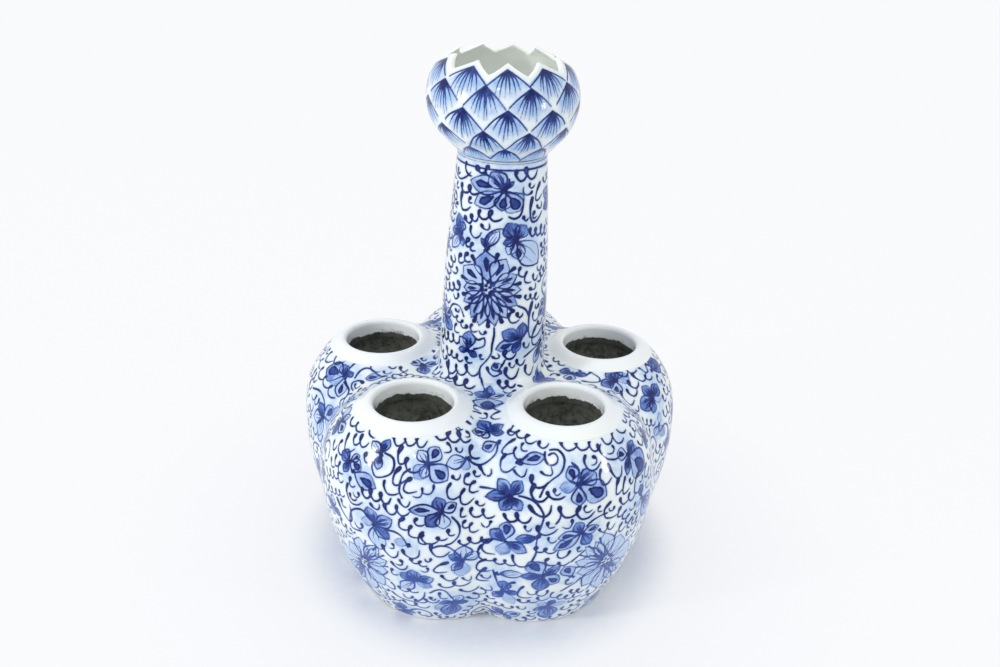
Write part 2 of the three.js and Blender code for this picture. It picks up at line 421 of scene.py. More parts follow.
@dataclass
class Viewpoint:
    """The photograph's camera, fitted to the vase's rims, in millimetres and degrees."""

    back: float = 442.8
    height: float = 332.6
    pitch: float = 25.86
    pan: float = 0.55
    roll: float = 1.57
    turn: float = -0.40
    focal_pixels: float = 1024.65
    width: int = 1000
    height_pixels: int = 667
    sensor: float = 36.0

    def axes(self) -> tuple[Array, Array, Array, Array]:
        """Return the camera's place and its right, up and forward directions."""
        pitch, pan, roll = (math.radians(angle) for angle in (self.pitch, self.pan, self.roll))
        forward = np.array([math.sin(pan) * math.cos(pitch), math.cos(pan) * math.cos(pitch), -math.sin(pitch)])
        level = np.array([math.cos(pan), -math.sin(pan), 0.0])
        steep = np.cross(level, forward)
        right = math.cos(roll) * level + math.sin(roll) * steep
        up = math.cos(roll) * steep - math.sin(roll) * level
        place = np.array([0.0, -self.back, self.height])
        c, s = math.cos(math.radians(self.turn)), math.sin(math.radians(self.turn))
        turned_back = np.array([[c, s, 0.0], [-s, c, 0.0], [0.0, 0.0, 1.0]])
        return tuple(turned_back @ vector for vector in (place, right, up, forward))

    def pixels(self, points: Array) -> tuple[Array, Array]:
        """Project points.

        Args:
            points: Points in millimetres.

        Returns:
            Their pixels, one pair a row, and their depths.
        """
        place, right, up, forward = self.axes()
        rays = points - place
        depth = rays @ forward
        across = self.width / 2 + self.focal_pixels * (rays @ right) / depth
        down = self.height_pixels / 2 - self.focal_pixels * (rays @ up) / depth
        return rows_of(across, down), depth

    def ray(self, pixel: Pair) -> Array:
        """Return the direction of a pixel's ray."""
        _, right, up, forward = self.axes()
        across = (pixel[0] - self.width / 2) / self.focal_pixels
        rise = (self.height_pixels / 2 - pixel[1]) / self.focal_pixels
        return forward + across * right + rise * up

    def build(self) -> bpy.types.Object:
        """Return the camera, set as the scene's camera."""
        place, right, up, forward = self.axes()
        data = bpy.data.cameras.new("camera")
        data.sensor_width = self.sensor
        data.lens = self.focal_pixels * self.sensor / self.width
        data.clip_start, data.clip_end = 0.01, 50.0
        camera = linked("camera", data)
        rows = [[right[k], up[k], -forward[k], place[k] * METRES] for k in range(3)]
        camera.matrix_world = Matrix([*rows, [0.0, 0.0, 0.0, 1.0]])
        bpy.context.scene.camera = camera
        return camera


# Brushwork


@dataclass
class Spot:
    """A place on the glaze with its own flat drawing directions."""

    point: Array
    normal: Array
    right: Array
    up: Array

    @classmethod
    def upright(cls, point: Array, normal: Array, up: Array) -> "Spot":
        """Make a spot.

        Args:
            point: Where it is.
            normal: The direction out of the glaze, of any length.
            up: The direction that is upwards in its drawing.

        Returns:
            The spot.
        """
        normal = normal / np.linalg.norm(normal)
        rise = up - (up @ normal) * normal
        rise = rise / max(np.linalg.norm(rise), 1e-6)
        return cls(point, normal, np.cross(rise, normal), rise)

    def turned_by(self, angle: float) -> "Spot":
        """Return the same spot with its drawing directions turned anticlockwise, in radians."""
        c, s = math.cos(angle), math.sin(angle)
        return Spot(self.point, self.normal, c * self.right + s * self.up, c * self.up - s * self.right)

    def world(self, path: Array) -> Array:
        """Return a flat path's points in space, on the spot's tangent plane."""
        return self.point + path[:, :1] * self.right + path[:, 1:2] * self.up


class Layer(Enum):
    """What is stored at each point of the glaze, by attribute name."""

    LINE = "line_edge"
    PETAL = "petal_edge"
    PIGMENT = "pigment"
    WASH = "wash"
    HALO = "halo"


@dataclass
class Patch:
    """Painted points near a spot, with their places in its flat drawing directions."""

    canvas: "Canvas"
    found: Array
    at: Array

    def measure(self, path: Array, widths: Array, pigment: Array) -> tuple[Array, Array]:
        """Measure from the points to a stroke.

        Args:
            path: Points of the stroke.
            widths: Half its width at each of its points.
            pigment: Its darkness at each of its points.

        Returns:
            Signed distances to the stroke's edge, and the darkness at its nearest place.
        """
        start, span = path[:-1], np.diff(path, axis=0)
        length = np.maximum((span * span).sum(1), 1e-9)
        reach = self.at[:, None, :] - start[None]
        share = np.clip((reach * span[None]).sum(2) / length, 0.0, 1.0)
        gap = np.sqrt(((reach - share[..., None] * span[None]) ** 2).sum(2))
        edge = gap - (widths[:-1] + share * np.diff(widths))
        best = np.argmin(edge, axis=1)
        row = np.arange(len(self.at))
        nearest = share[row, best]
        return edge[row, best], pigment[:-1][best] + nearest * np.diff(pigment)[best]

    def brush(self, path: Array, widths: Array, pigment: Array) -> None:
        """Lay one stroke, its path, half widths and darkness as measure takes them."""
        distance, depth = self.measure(path, widths, pigment)
        self.lay(Layer.LINE, distance, Layer.PIGMENT, depth)

    def fill(self, distance: Array, wash: Array) -> None:
        """Lay a pale wash inside a shape, given by signed distances to its outline, below 0 inside."""
        self.lay(Layer.PETAL, distance, Layer.WASH, wash)

    def lay(self, edge: Layer, distance: Array, tone: Layer, values: Array) -> None:
        """Keep the nearer distances in one layer, and the values close to them in another.

        Args:
            edge: The layer of distances.
            distance: New signed distances at the patch's points.
            tone: The layer that goes with it.
            values: New values for it at the same points.
        """
        layers, found = self.canvas.layers, self.found
        nearer = distance < layers[edge][found]
        layers[edge][found[nearer]] = distance[nearer]
        close = nearer & (distance < self.canvas.edge)
        layers[tone][found[close]] = values[close]

    def tint(self, strength: Array) -> None:
        """Make the halo at least this strong."""
        halo = self.canvas.layers[Layer.HALO]
        halo[self.found] = np.maximum(halo[self.found], strength)


@dataclass
class Canvas:
    """Every painted point of the vase, with the brushwork laid over it, and the hand that draws."""

    view: Viewpoint
    cell: float = 3.0
    far: float = 4.0
    edge: float = 1.6
    least_facing: float = 0.15
    same_side: float = 6.0
    nudge: float = 2.0
    foot_strength: float = 0.76
    parts: list[tuple[Mesh, Array, Array, Array]] = field(default_factory=list)
    hand: np.random.Generator | None = None

    def add(self, mesh: Mesh) -> None:
        """Add the painted points of a mesh that is in metres and in place."""
        chosen = painted_points(mesh)
        normals = values_of(mesh.vertex_normals, "vector", np.float32, 3)
        self.parts.append((mesh, chosen, (coordinates(mesh) / METRES)[chosen], normals[chosen]))

    def seal(self) -> None:
        """Sort all points into cells and clear the layers."""
        self.points = np.vstack([part[2] for part in self.parts])
        self.normals = np.vstack([part[3] for part in self.parts])
        count = len(self.points)
        self.layers = {
            Layer.LINE: np.full(count, self.far),
            Layer.PETAL: np.full(count, self.far),
            Layer.PIGMENT: np.full(count, 0.6),
            Layer.WASH: np.full(count, 0.5),
            Layer.HALO: np.zeros(count),
        }
        self.low = self.points.min(0) - self.cell
        cells = ((self.points - self.low) / self.cell).astype(np.int64)
        self.counts = cells.max(0) + 2
        keys = (cells[:, 0] * self.counts[1] + cells[:, 1]) * self.counts[2] + cells[:, 2]
        self.order = np.argsort(keys, kind="stable")
        self.keys = keys[self.order]
        self.blank = np.zeros(count, bool)
        pixels, depth = self.view.pixels(self.points)
        place = self.view.axes()[0]
        facing = ((place - self.points) * self.normals).sum(1) > 0
        self.seen = np.nonzero(facing)[0]
        self.seen_pixels, self.seen_depth = pixels[self.seen], depth[self.seen]

    def near(self, centre: Array, reach: float) -> Array:
        """Return the indices of the points within reach of a centre."""
        first = np.maximum(((centre - reach - self.low) / self.cell).astype(np.int64), 0)
        last = np.minimum(((centre + reach - self.low) / self.cell).astype(np.int64), self.counts - 1)
        columns = [
            (i * self.counts[1] + j) * self.counts[2]
            for i in range(first[0], last[0] + 1)
            for j in range(first[1], last[1] + 1)
        ]
        if not columns:
            return np.empty(0, np.int64)
        starts = np.searchsorted(self.keys, np.array(columns) + first[2], side="left")
        ends = np.searchsorted(self.keys, np.array(columns) + last[2], side="right")
        found = np.concatenate([self.order[a:b] for a, b in zip(starts, ends)])
        offsets = self.points[found] - centre
        return found[(offsets * offsets).sum(1) < reach * reach]

    def flat(self, spot: Spot, reach: float) -> Patch:
        """Unroll the glaze round a spot.

        Args:
            spot: Where to look.
            reach: How far to look.

        Returns:
            The patch there.
        """
        found = self.near(spot.point, reach)
        found = found[(self.normals[found] @ spot.normal) > self.least_facing]
        offsets = self.points[found] - spot.point
        across = rows_of(offsets @ spot.right, offsets @ spot.up)
        chord = np.linalg.norm(offsets, axis=1)
        stretch = chord / np.maximum(np.linalg.norm(across, axis=1), 1e-3)
        return Patch(self, found, across * np.clip(stretch, 1.0, 1.4)[:, None])

    def spot(self, index: int, up: Array) -> Spot:
        """Return the spot at a painted point, drawn with this direction upwards."""
        return Spot.upright(self.points[index], self.normals[index], up)

    def spot_seen(self, pixel: Pair) -> Spot:
        """Find the place on the glaze that the photograph shows at a pixel.

        Args:
            pixel: Pixel across and down.

        Returns:
            The spot, drawn upright as the camera sees it.
        """
        offsets = self.seen_pixels - np.array(pixel)
        away = (offsets * offsets).sum(1)
        close = np.nonzero(away < max(4.0, away.min() + 1.0))[0]
        front = close[self.seen_depth[close] < self.seen_depth[close].min() + self.same_side]
        index = self.seen[front[np.argmin(away[front])]]
        spot = self.spot(index, self.view.axes()[2])
        place, ray = self.view.axes()[0], self.view.ray(pixel)
        share = ((spot.point - place) @ spot.normal) / (ray @ spot.normal)
        there = place + share * ray
        if np.linalg.norm(there - spot.point) < self.nudge:
            spot.point = there
        return spot

    def vine(self, path: Array, width: float, pigment: float) -> None:
        """Draw a thin stem along points that lie on the glaze.

        Args:
            path: Points in space.
            width: Half the stem's width.
            pigment: How dark it is.
        """
        path = self.settle(evenly(path, max(4, int(np.linalg.norm(np.diff(path, axis=0), axis=1).sum() / 1.1))))
        wave = np.sin(np.linspace(0.0, 7.0, len(path)))
        widths, depth = width * (1 + 0.22 * wave), pigment * (1 + 0.15 * wave)
        for first in range(0, len(path) - 1, 6):
            part = slice(first, first + 7)
            middle = path[part].mean(0)
            reach = np.linalg.norm(path[part] - middle, axis=1).max() + self.edge
            found = self.near(middle, reach)
            if len(found):
                Patch(self, found, self.points[found]).brush(path[part], widths[part], depth[part])

    def settle(self, path: Array) -> Array:
        """Return a path's points, each moved onto the glaze below or above it."""
        placed = path.copy()
        for i, point in enumerate(placed):
            found = self.near(point, 3.0)
            if not len(found):
                found = self.near(point, 9.0)
            if not len(found):
                continue
            offsets = self.points[found] - point
            best = found[np.argmin((offsets * offsets).sum(1))]
            normal = self.normals[best]
            placed[i] = point + ((self.points[best] - point) @ normal) * normal
        return placed

    def store(self) -> None:
        """Write the layers into the meshes' point attributes."""
        for layer, empty in ((Layer.LINE, self.far), (Layer.PETAL, self.far), (Layer.HALO, 0.0)):
            self.layers[layer][self.blank] = empty
        rise = smooth_share(self.points[:, 2], 0.0, 75.0)
        self.layers[Layer.PIGMENT] *= self.foot_strength + (1 - self.foot_strength) * rise
        first = 0
        for mesh, chosen, points, _ in self.parts:
            part = slice(first, first + len(points))
            first += len(points)
            for layer, values in self.layers.items():
                whole = np.full(len(mesh.vertices), self.far if layer in (Layer.LINE, Layer.PETAL) else 0.0)
                whole[chosen] = values[part]
                attribute = mesh.attributes.new(layer.value, "FLOAT", "POINT")
                attribute.data.foreach_set("value", whole.astype(np.float32))


@dataclass
class Curl:
    """A running chain of cup-shaped strokes, each begun with a knob."""

    cups: int = 2
    width: float = 4.6
    depth: float = 2.7
    weight: float = 1.0
    bend: float = 0.0
    flip: bool = False
    pigment: float = 0.8
    half_widths: tuple[float, ...] = (0.85, 0.98, 0.54, 0.4, 0.47, 0.45, 0.28)
    half_width_shares: tuple[float, ...] = (0.0, 0.1, 0.24, 0.42, 0.6, 0.8, 1.0)

    def strokes(self, rng: np.random.Generator) -> list[tuple[Array, Array, Array]]:
        """Work out the strokes.

        Args:
            rng: Source of the hand's unevenness.

        Returns:
            Paths with their half widths and darkness.
        """
        made = []
        x, y = -self.cups * self.width / 2, 0.0
        for _ in range(self.cups):
            w, d = self.width * rng.uniform(0.88, 1.12), self.depth * rng.uniform(0.82, 1.15)
            rise = rng.uniform(0.25, 0.55) * d
            lean = rng.uniform(-0.08, 0.14) * w
            knots = [(x + lean, y + rise), (x + 0.03 * w, y - 0.3 * d), (x + 0.34 * w, y - d),
                     (x + 0.74 * w, y - 0.86 * d), (x + 1.0 * w, y - rng.uniform(0.0, 0.45) * d)]
            path = through(knots, 3)
            share = np.linspace(0.0, 1.0, len(path))
            widths = np.interp(share, self.half_width_shares, self.half_widths) * self.weight
            widths[share < 0.2] *= rng.uniform(0.8, 1.2)
            depth = self.pigment * np.interp(share, (0.0, 0.15, 0.4, 0.8, 1.0), (1.15, 1.15, 0.9, 1.0, 0.75))
            made.append((self.bent(path), widths, np.minimum(depth, 1.0)))
            x, y = x + 0.93 * w, y + rng.uniform(-0.12, 0.12) * d
        return made

    def bent(self, path: Array) -> Array:
        """Return a path bent along the chain's own curve, and mirrored if the curl is."""
        side = -1.0 if self.flip else 1.0
        x, y = path[:, 0] * side, path[:, 1]
        if abs(self.bend) < 1e-4:
            return rows_of(x, y)
        radius = 1.0 / self.bend
        angle = x / radius
        return rows_of((radius - y) * np.sin(angle), radius - (radius - y) * np.cos(angle))

    def paint(self, canvas: Canvas, spot: Spot, clear: float) -> bool:
        """Draw the curl if there is room.

        Args:
            canvas: The glaze to draw on.
            spot: Where its middle goes.
            clear: The clearance that it needs from older strokes, or 0 to draw it anyway.

        Returns:
            Whether it was drawn.
        """
        length = self.cups * self.width
        if clear > 0.0 and not self.looks_free(canvas, spot, length):
            return False
        patch = canvas.flat(spot, np.hypot(length / 2, self.depth) + 1.5)
        if len(patch.found) < 20:
            return False
        strokes = self.strokes(canvas.hand)
        if clear > 0.0 and not self.has_room(patch, strokes, clear):
            return False
        for stroke in strokes:
            patch.brush(*stroke)
        return True

    def looks_free(self, canvas: Canvas, spot: Spot, length: float) -> bool:
        """Return whether a few places along the chain are free of older strokes."""
        for share in (0.0, -0.38, 0.38):
            place = spot.point + share * length * spot.right - 0.45 * self.depth * spot.up
            found = canvas.near(place, 0.8)
            if (canvas.layers[Layer.LINE][found] < 0.15).any() or (canvas.layers[Layer.PETAL][found] < 0.0).any():
                return False
        return True

    @staticmethod
    def has_room(patch: Patch, strokes: list, clear: float) -> bool:
        """Return whether nearly all of the strokes would lie clear of older ones."""
        gaps = np.min([patch.measure(*stroke)[0] for stroke in strokes], axis=0)
        foot = patch.found[gaps < 0.15]
        canvas = patch.canvas
        if len(foot) < 6 or canvas.blank[foot].any():
            return False
        crowded = (canvas.layers[Layer.LINE][foot] < clear) | (canvas.layers[Layer.PETAL][foot] < clear * 0.7)
        return bool(crowded.mean() < 0.08)


class PetalKind(Enum):
    """How a petal or leaf is filled."""

    SEEDED = "mid blue, with a dark seed"
    HATCHED = "mid blue, with dark streaks"
    DARK = "dark"
    PALE = "pale, with fine veins"
    DROP = "soft, with no outline"


# The kinds by one letter, for the tables, and how strongly each is washed
S, H, D, P, O = PetalKind.SEEDED, PetalKind.HATCHED, PetalKind.DARK, PetalKind.PALE, PetalKind.DROP
WASHES = {S: 0.5, H: 1.1, D: 1.7, P: 0.1, O: 0.6}


@dataclass
class Petal:
    """One petal or leaf that points along its angle."""

    angle: float
    start: float
    end: float
    width: float
    kind: PetalKind
    pigment: float = 0.8
    fullness: float = 1.15
    point: float = 0.9
    outline: float = 0.36
    seed: float = 0.5

    def wash(self) -> float:
        """Return how strongly the petal is washed."""
        return WASHES[self.kind] * (0.5 + 0.6 * self.pigment)

    def paint(self, patch: Patch) -> None:
        """Draw the petal.

        Args:
            patch: The glaze round the flower's heart.
        """
        rng = patch.canvas.hand
        c, s = math.cos(self.angle), math.sin(self.angle)
        own = rows_of(patch.at[:, 0] * c + patch.at[:, 1] * s, patch.at[:, 1] * c - patch.at[:, 0] * s)
        patch = Patch(patch.canvas, patch.found, own)
        length = self.end - self.start
        share = np.linspace(0.0, 1.0, 13)
        along = self.start + length * share
        half = self.width * np.sin(math.pi * share**self.fullness) ** self.point
        sway = rng.uniform(-0.12, 0.12) * length * share * share
        loop = np.vstack([
            rows_of(along, sway + half),
            rows_of(along[::-1], (sway - half)[::-1])[1:],
        ])
        depth = np.full(len(loop), self.pigment)
        edge = patch.measure(loop, np.zeros(len(loop)), depth)[0]
        room = np.interp(own[:, 0], along, half, left=-1.0, right=-1.0)
        inside = np.abs(own[:, 1] - np.interp(own[:, 0], along, sway)) < room
        rise = smooth_share(own[:, 0], along[0], along[-1])
        tone = rng.uniform(0.5, 0.9) + rng.uniform(-0.2, 0.7) * rise + 0.2 * own[:, 1] / max(self.width, 0.5)
        patch.fill(np.where(inside, -edge, edge), self.wash() * tone)
        thin = 0.55 if self.kind is PetalKind.DROP else 1.0
        wave = np.sin(np.linspace(rng.uniform(0, 3), rng.uniform(6, 11), len(loop)))
        widths = thin * self.outline * (1 + 0.3 * wave)
        patch.brush(loop, widths, depth * thin)
        if self.kind is PetalKind.SEEDED:
            drop = np.array([0.34, 0.5, 0.66, 0.78]) * length + self.start
            middle = np.interp(drop, along, sway)
            fat = rng.uniform(0.85, 1.1) * self.seed * self.width * np.array([0.3, 0.75, 1.0, 0.4])
            patch.brush(rows_of(drop, middle), fat, np.full(4, min(1.0, self.pigment * 1.1)))
        streaks = {H: 4, P: 2, D: 2}.get(self.kind, 0)
        for k in range(streaks):
            slide = (k + 0.5 + rng.uniform(-0.2, 0.2)) / streaks * 2 - 1
            reach = rng.uniform(0.6, 0.85)
            path = np.array([
                [self.start + 0.08 * length, 0.15 * slide * self.width],
                [self.start + 0.45 * length, 0.62 * slide * self.width],
                [self.start + reach * length, 0.5 * slide * self.width],
            ])
            thin = 0.24 if self.kind is PetalKind.PALE else 0.42
            patch.brush(path, np.array([thin, thin, 0.15]), np.full(3, self.pigment))


@dataclass
class Flower:
    """A handful of petals round a dark heart, each given by angle, length, half width and kind."""

    petals: list[tuple[float, float, float, PetalKind]]
    pigment: float = 0.8
    heart: float = 0.7
    halo: float = 0.5

    @classmethod
    def grown(cls, rng: np.random.Generator, radius: float) -> "Flower":
        """Make a flower of no fixed pattern.

        Args:
            rng: Source of the hand's choices.
            radius: Length of its longest petals.

        Returns:
            The flower.
        """
        count = int(rng.choice([4, 5, 5, 6]))
        first = rng.uniform(0, 2 * math.pi)
        kinds = [S, S, H, D, P]
        petals = []
        for k in range(count):
            length = radius * rng.uniform(0.7, 1.05)
            angle = first + 2 * math.pi * (k + rng.uniform(-0.22, 0.22)) / count
            petals.append((angle, length, length * rng.uniform(0.26, 0.36), kinds[int(rng.integers(5))]))
        return cls(petals, pigment=rng.uniform(0.6, 0.95))

    def paint(self, canvas: Canvas, spot: Spot) -> None:
        """Draw the flower.

        Args:
            canvas: The glaze to draw on.
            spot: Where its heart goes.
        """
        rng = canvas.hand
        radius = max(petal[1] for petal in self.petals)
        patch = canvas.flat(spot, radius + 2.5)
        if len(patch.found) < 30:
            return
        away = np.linalg.norm(patch.at - np.array([rng.uniform(-2, 2), rng.uniform(-2, 2)]), axis=1)
        patch.tint(self.halo * (1 - smooth_share(away, radius * 0.5, radius + 1.2)))
        for angle, length, width, kind in sorted(self.petals, key=lambda petal: petal[3].name):
            Petal(angle, 0.07 * length, length, width, kind, self.pigment, rng.uniform(1.0, 1.35)).paint(patch)
        for _ in range(5):
            turn, out = rng.uniform(0, 2 * math.pi), rng.uniform(0.1, 1.1)
            dot = np.array([out * math.cos(turn), out * math.sin(turn)]) + np.array([[0.0, 0.0], [0.1, 0.1]])
            fat = self.heart * rng.uniform(0.6, 1.2)
            patch.brush(dot, np.full(2, fat), np.full(2, min(1.0, self.pigment * 1.25)))


@dataclass
class Daisy:
    """The large flower: a round of seeded petals, each given by angle and length, with a drop between each two."""

    petals: list[Pair]
    pigment: float = 0.85

    @classmethod
    def grown(cls, rng: np.random.Generator, radius: float, pigment: float, count: int = 12) -> "Daisy":
        """Make a daisy with even petals.

        Args:
            rng: Source of the hand's unevenness.
            radius: Length of its longest petals.
            pigment: How dark it is.
            count: How many petals it has.

        Returns:
            The daisy.
        """
        first, step = rng.uniform(0, 1), 2 * math.pi / count
        petals = [
            (first + step * (k + rng.uniform(-0.08, 0.08)), radius * rng.uniform(0.86, 1.0)) for k in range(count)
        ]
        return cls(petals, pigment)

    def paint(self, canvas: Canvas, spot: Spot) -> None:
        """Draw the flower.

        Args:
            canvas: The glaze to draw on.
            spot: Where its heart goes.
        """
        rng = canvas.hand
        petals = sorted((angle % (2 * math.pi), length) for angle, length in self.petals)
        radius = max(length for _, length in petals)
        patch = canvas.flat(spot, radius * 1.15 + 1.6)
        away = np.linalg.norm(patch.at, axis=1)
        patch.tint(0.5 * self.pigment * (1 - smooth_share(away, radius * 0.6, radius + 1.5)))
        after = [*petals[1:], (petals[0][0] + 2 * math.pi, petals[0][1])]
        before = [petals[-1][0] - 2 * math.pi, *(angle for angle, _ in petals[:-1])]
        for (angle, length), (angle_after, length_after) in zip(petals, after):
            turn = (angle + angle_after) / 2
            reach = np.array([math.cos(turn), math.sin(turn)]) * (length + length_after) / 2
            path = np.stack([reach * 0.74, reach * 0.98])
            fat = 0.5 + 0.6 * smooth_share(np.array(self.pigment), 0.6, 0.95)
            patch.brush(path, np.array([0.35, fat]), np.full(2, self.pigment * 0.95))
        for (angle, length), angle_before, (angle_after, _) in zip(petals, before, after):
            step = 0.5 * (angle_after - angle_before)
            width = length * math.sin(step / 2) * rng.uniform(0.88, 0.98)
            kind = S if self.pigment > 0.7 else P
            Petal(angle, length * 0.17, length, width, kind, self.pigment, 1.15, 1.1, 0.36, 0.26).paint(patch)
        for k in range(9):
            turn = k * 2 * math.pi / 9 + rng.uniform(-0.2, 0.2)
            middle = np.array([math.cos(turn), math.sin(turn)]) * radius * (0.05 if k % 3 == 0 else 0.13)
            patch.brush(np.stack([middle * 0.9, middle * 1.25]), np.array([0.6, 0.86]), np.full(2, 1.0))


@dataclass(frozen=True)
class ScrollLayout:
    """Where the front view shows the motifs of the floral scroll, in pixels across and down.

    A flower has its heart, its darkness and its petals' tips, each with a kind and a half width as a share of its
    length. A curl has its two ends, its number of cups, and its depth as a share of a cup's width.
    """

    daisies: tuple[tuple, ...] = (
        (487.5, 288, 1.0, ((486, 251), (508, 260), (518, 277), (521, 290), (518, 304), (507, 318), (496, 326),
         (480, 326), (469, 316), (464, 302), (464, 287), (464, 265))),
        (364, 561, 0.6, ((386, 560), (388, 572), (386, 585), (376, 592), (364, 588), (353, 578), (346, 566),
         (344, 552), (350, 541), (360, 538), (372, 543), (381, 550))),
        (606, 560, 0.6, ((577, 560), (577, 573), (581, 586), (593, 592), (608, 590), (619, 578), (624, 565),
         (628, 548), (622, 534), (606, 532), (594, 543), (583, 549))),
    )
    flowers: tuple[tuple, ...] = (
        (381, 454, 0.9, ((389, 439, H, 0.3), (376, 469, H, 0.3), (373, 441, P, 0.3))),
        (350, 461, 0.85, ((343, 450, D, 0.4), (360, 456, S, 0.3), (344, 472, H, 0.3), (361, 470, S, 0.45))),
        (353, 471, 0.8, ((375, 490, S, 0.3),)),
        (428, 464, 0.8, ((419, 450, P, 0.35), (440, 448, S, 0.4), (447, 481, S, 0.4), (421, 478, P, 0.35),
         (413, 477, O, 0.4))),
        (468, 459, 0.75, ((446, 464, P, 0.3), (464, 470, O, 0.45))),
        (442, 512, 1.0, ((409, 507, S, 0.2), (437, 497, D, 0.4), (457, 504, S, 0.35), (426, 526, D, 0.35),
         (443, 529, P, 0.4))),
        (374, 524, 0.7, ((369, 507, H, 0.38), (392, 520, H, 0.34), (388, 540, D, 0.35), (379, 549, P, 0.3),
         (361, 518, O, 0.35))),
        (409, 545, 0.7, ((394, 540, O, 0.35),)),
        (463, 560, 0.6, ((463, 546, P, 0.5), (448, 556, H, 0.3), (453, 571, H, 0.3), (463, 576, O, 0.35),
         (480, 553, P, 0.3))),
        (415, 581, 0.65, ((401, 572, H, 0.4), (413, 570, H, 0.4), (433, 578, H, 0.3), (432, 588, O, 0.3),
         (402, 588, P, 0.3))),
        (455, 602, 0.65, ((439, 603, H, 0.35), (437, 610, O, 0.3), (468, 602, D, 0.3), (460, 595, P, 0.4),
         (449, 615, H, 0.3))),
        (511, 496, 0.95, ((498, 479, H, 0.34), (522, 481, H, 0.34), (502, 511, H, 0.36), (521, 511, H, 0.36),
         (485, 496, D, 0.2))),
        (578, 485, 0.9, ((595, 471, H, 0.42), (607, 495, S, 0.36), (579, 506, S, 0.36), (560, 490, O, 0.32),
         (568, 467, S, 0.35))),
        (628, 455, 0.8, ((617, 453, S, 0.42), (632, 440, H, 0.3), (627, 475, H, 0.22), (644, 469, S, 0.5),
         (640, 452, O, 0.4))),
        (517, 463, 0.85, ((545, 455, S, 0.22), (523, 461, D, 0.5))),
        (505, 541, 0.7, ((508, 522, S, 0.35), (527, 552, H, 0.28), (502, 555, O, 0.4), (491, 529, H, 0.35))),
        (539, 537, 0.6, ((516, 541, H, 0.22),)),
        (582, 533, 0.7, ((558, 537, S, 0.24), (555, 552, S, 0.22), (576, 523, D, 0.4), (599, 526, S, 0.28),
         (590, 543, D, 0.35))),
        (543, 576, 0.7, ((532, 561, S, 0.4), (560, 566, H, 0.26), (559, 582, S, 0.4), (520, 577, H, 0.22),
         (538, 591, D, 0.34))),
        (503, 591, 0.6, ((505, 581, D, 0.4), (518, 594, H, 0.3), (493, 596, H, 0.3), (514, 604, O, 0.25))),
        (497, 574, 0.7, ((523, 573, P, 0.2),)),
        (548, 605, 0.6, ((537, 604, O, 0.4), (555, 600, H, 0.4), (566, 602, O, 0.22), (549, 617, H, 0.3),
         (534, 611, H, 0.25))),
        (572, 577, 0.6, ((566, 566, S, 0.35),)),
        (641, 497, 0.5, ((641, 484, H, 0.3), (648, 505, H, 0.3), (636, 508, O, 0.3))),
        (488, 397, 0.85, ((474, 393, D, 0.4), (504, 395, S, 0.28), (490, 386, H, 0.4), (488, 410, S, 0.5),
         (477, 402, O, 0.35))),
        (489, 431, 0.85, ((480, 420, D, 0.4), (503, 424, H, 0.35), (472, 431, S, 0.3), (504, 433, D, 0.25),
         (483, 438, P, 0.4))),
        (498, 442, 0.7, ((482, 448, S, 0.35),)),
        (345, 377, 0.9, ((328, 367, S, 0.4), (353, 372, D, 0.45), (339, 397, S, 0.34), (330, 383, O, 0.34),
         (345, 364, H, 0.34))),
        (323, 417, 0.65, ((320, 402, D, 0.34), (334, 410, S, 0.4), (314, 415, P, 0.4), (328, 430, O, 0.34),
         (319, 436, P, 0.3))),
        (384, 377, 0.75, ((366, 377, S, 0.3),)),
        (423, 365, 0.8, ((409, 360, S, 0.3), (436, 362, S, 0.3), (424, 374, H, 0.4))),
        (616, 381, 0.85, ((605, 373, H, 0.4), (617, 369, D, 0.4), (629, 376, O, 0.45), (601, 385, H, 0.35),
         (618, 394, S, 0.36))),
        (653, 397, 0.95, ((642, 386, H, 0.34), (657, 384, H, 0.38), (641, 409, H, 0.36), (653, 413, D, 0.3),
         (661, 399, O, 0.36))),
        (652, 371, 0.9, ((655, 359, D, 0.45),)),
        (572, 373, 0.8, ((587, 376, H, 0.25), (560, 370, H, 0.34), (567, 380, S, 0.4))),
        (659, 425, 0.5, ((660, 412, O, 0.3), (655, 436, P, 0.4), (664, 436, O, 0.3))),
        (505, 191, 0.95, ((471, 178, S, 0.27), (493, 171, H, 0.42), (475, 205, S, 0.26), (503, 211, S, 0.45),
         (521, 210, S, 0.45), (510, 179, D, 0.16), (514, 181, D, 0.12))),
        (461, 232, 0.65, ((458, 213, H, 0.32), (464, 222, P, 0.34), (453, 228, H, 0.3), (453, 248, P, 0.25),
         (462, 246, H, 0.25))),
        (516, 240, 0.95, ((508, 223, D, 0.45), (526, 225, H, 0.45), (519, 261, S, 0.34), (538, 262, P, 0.32),
         (503, 243, D, 0.36), (508, 255, P, 0.36))),
        (486, 249, 0.9, ((499, 231, P, 0.2), (482, 238, D, 0.2))),
        (468, 350, 0.9, ((469, 331, H, 0.34), (460, 336, P, 0.3), (477, 357, D, 0.32), (459, 350, D, 0.3))),
        (521, 339, 0.9, ((502, 332, H, 0.32), (496, 350, S, 0.24), (522, 323, D, 0.34), (513, 353, H, 0.3))),
        (540, 341, 0.9, ((534, 363, H, 0.24),)),
        (499, 372, 0.8, ((494, 363, S, 0.45),)),
    )
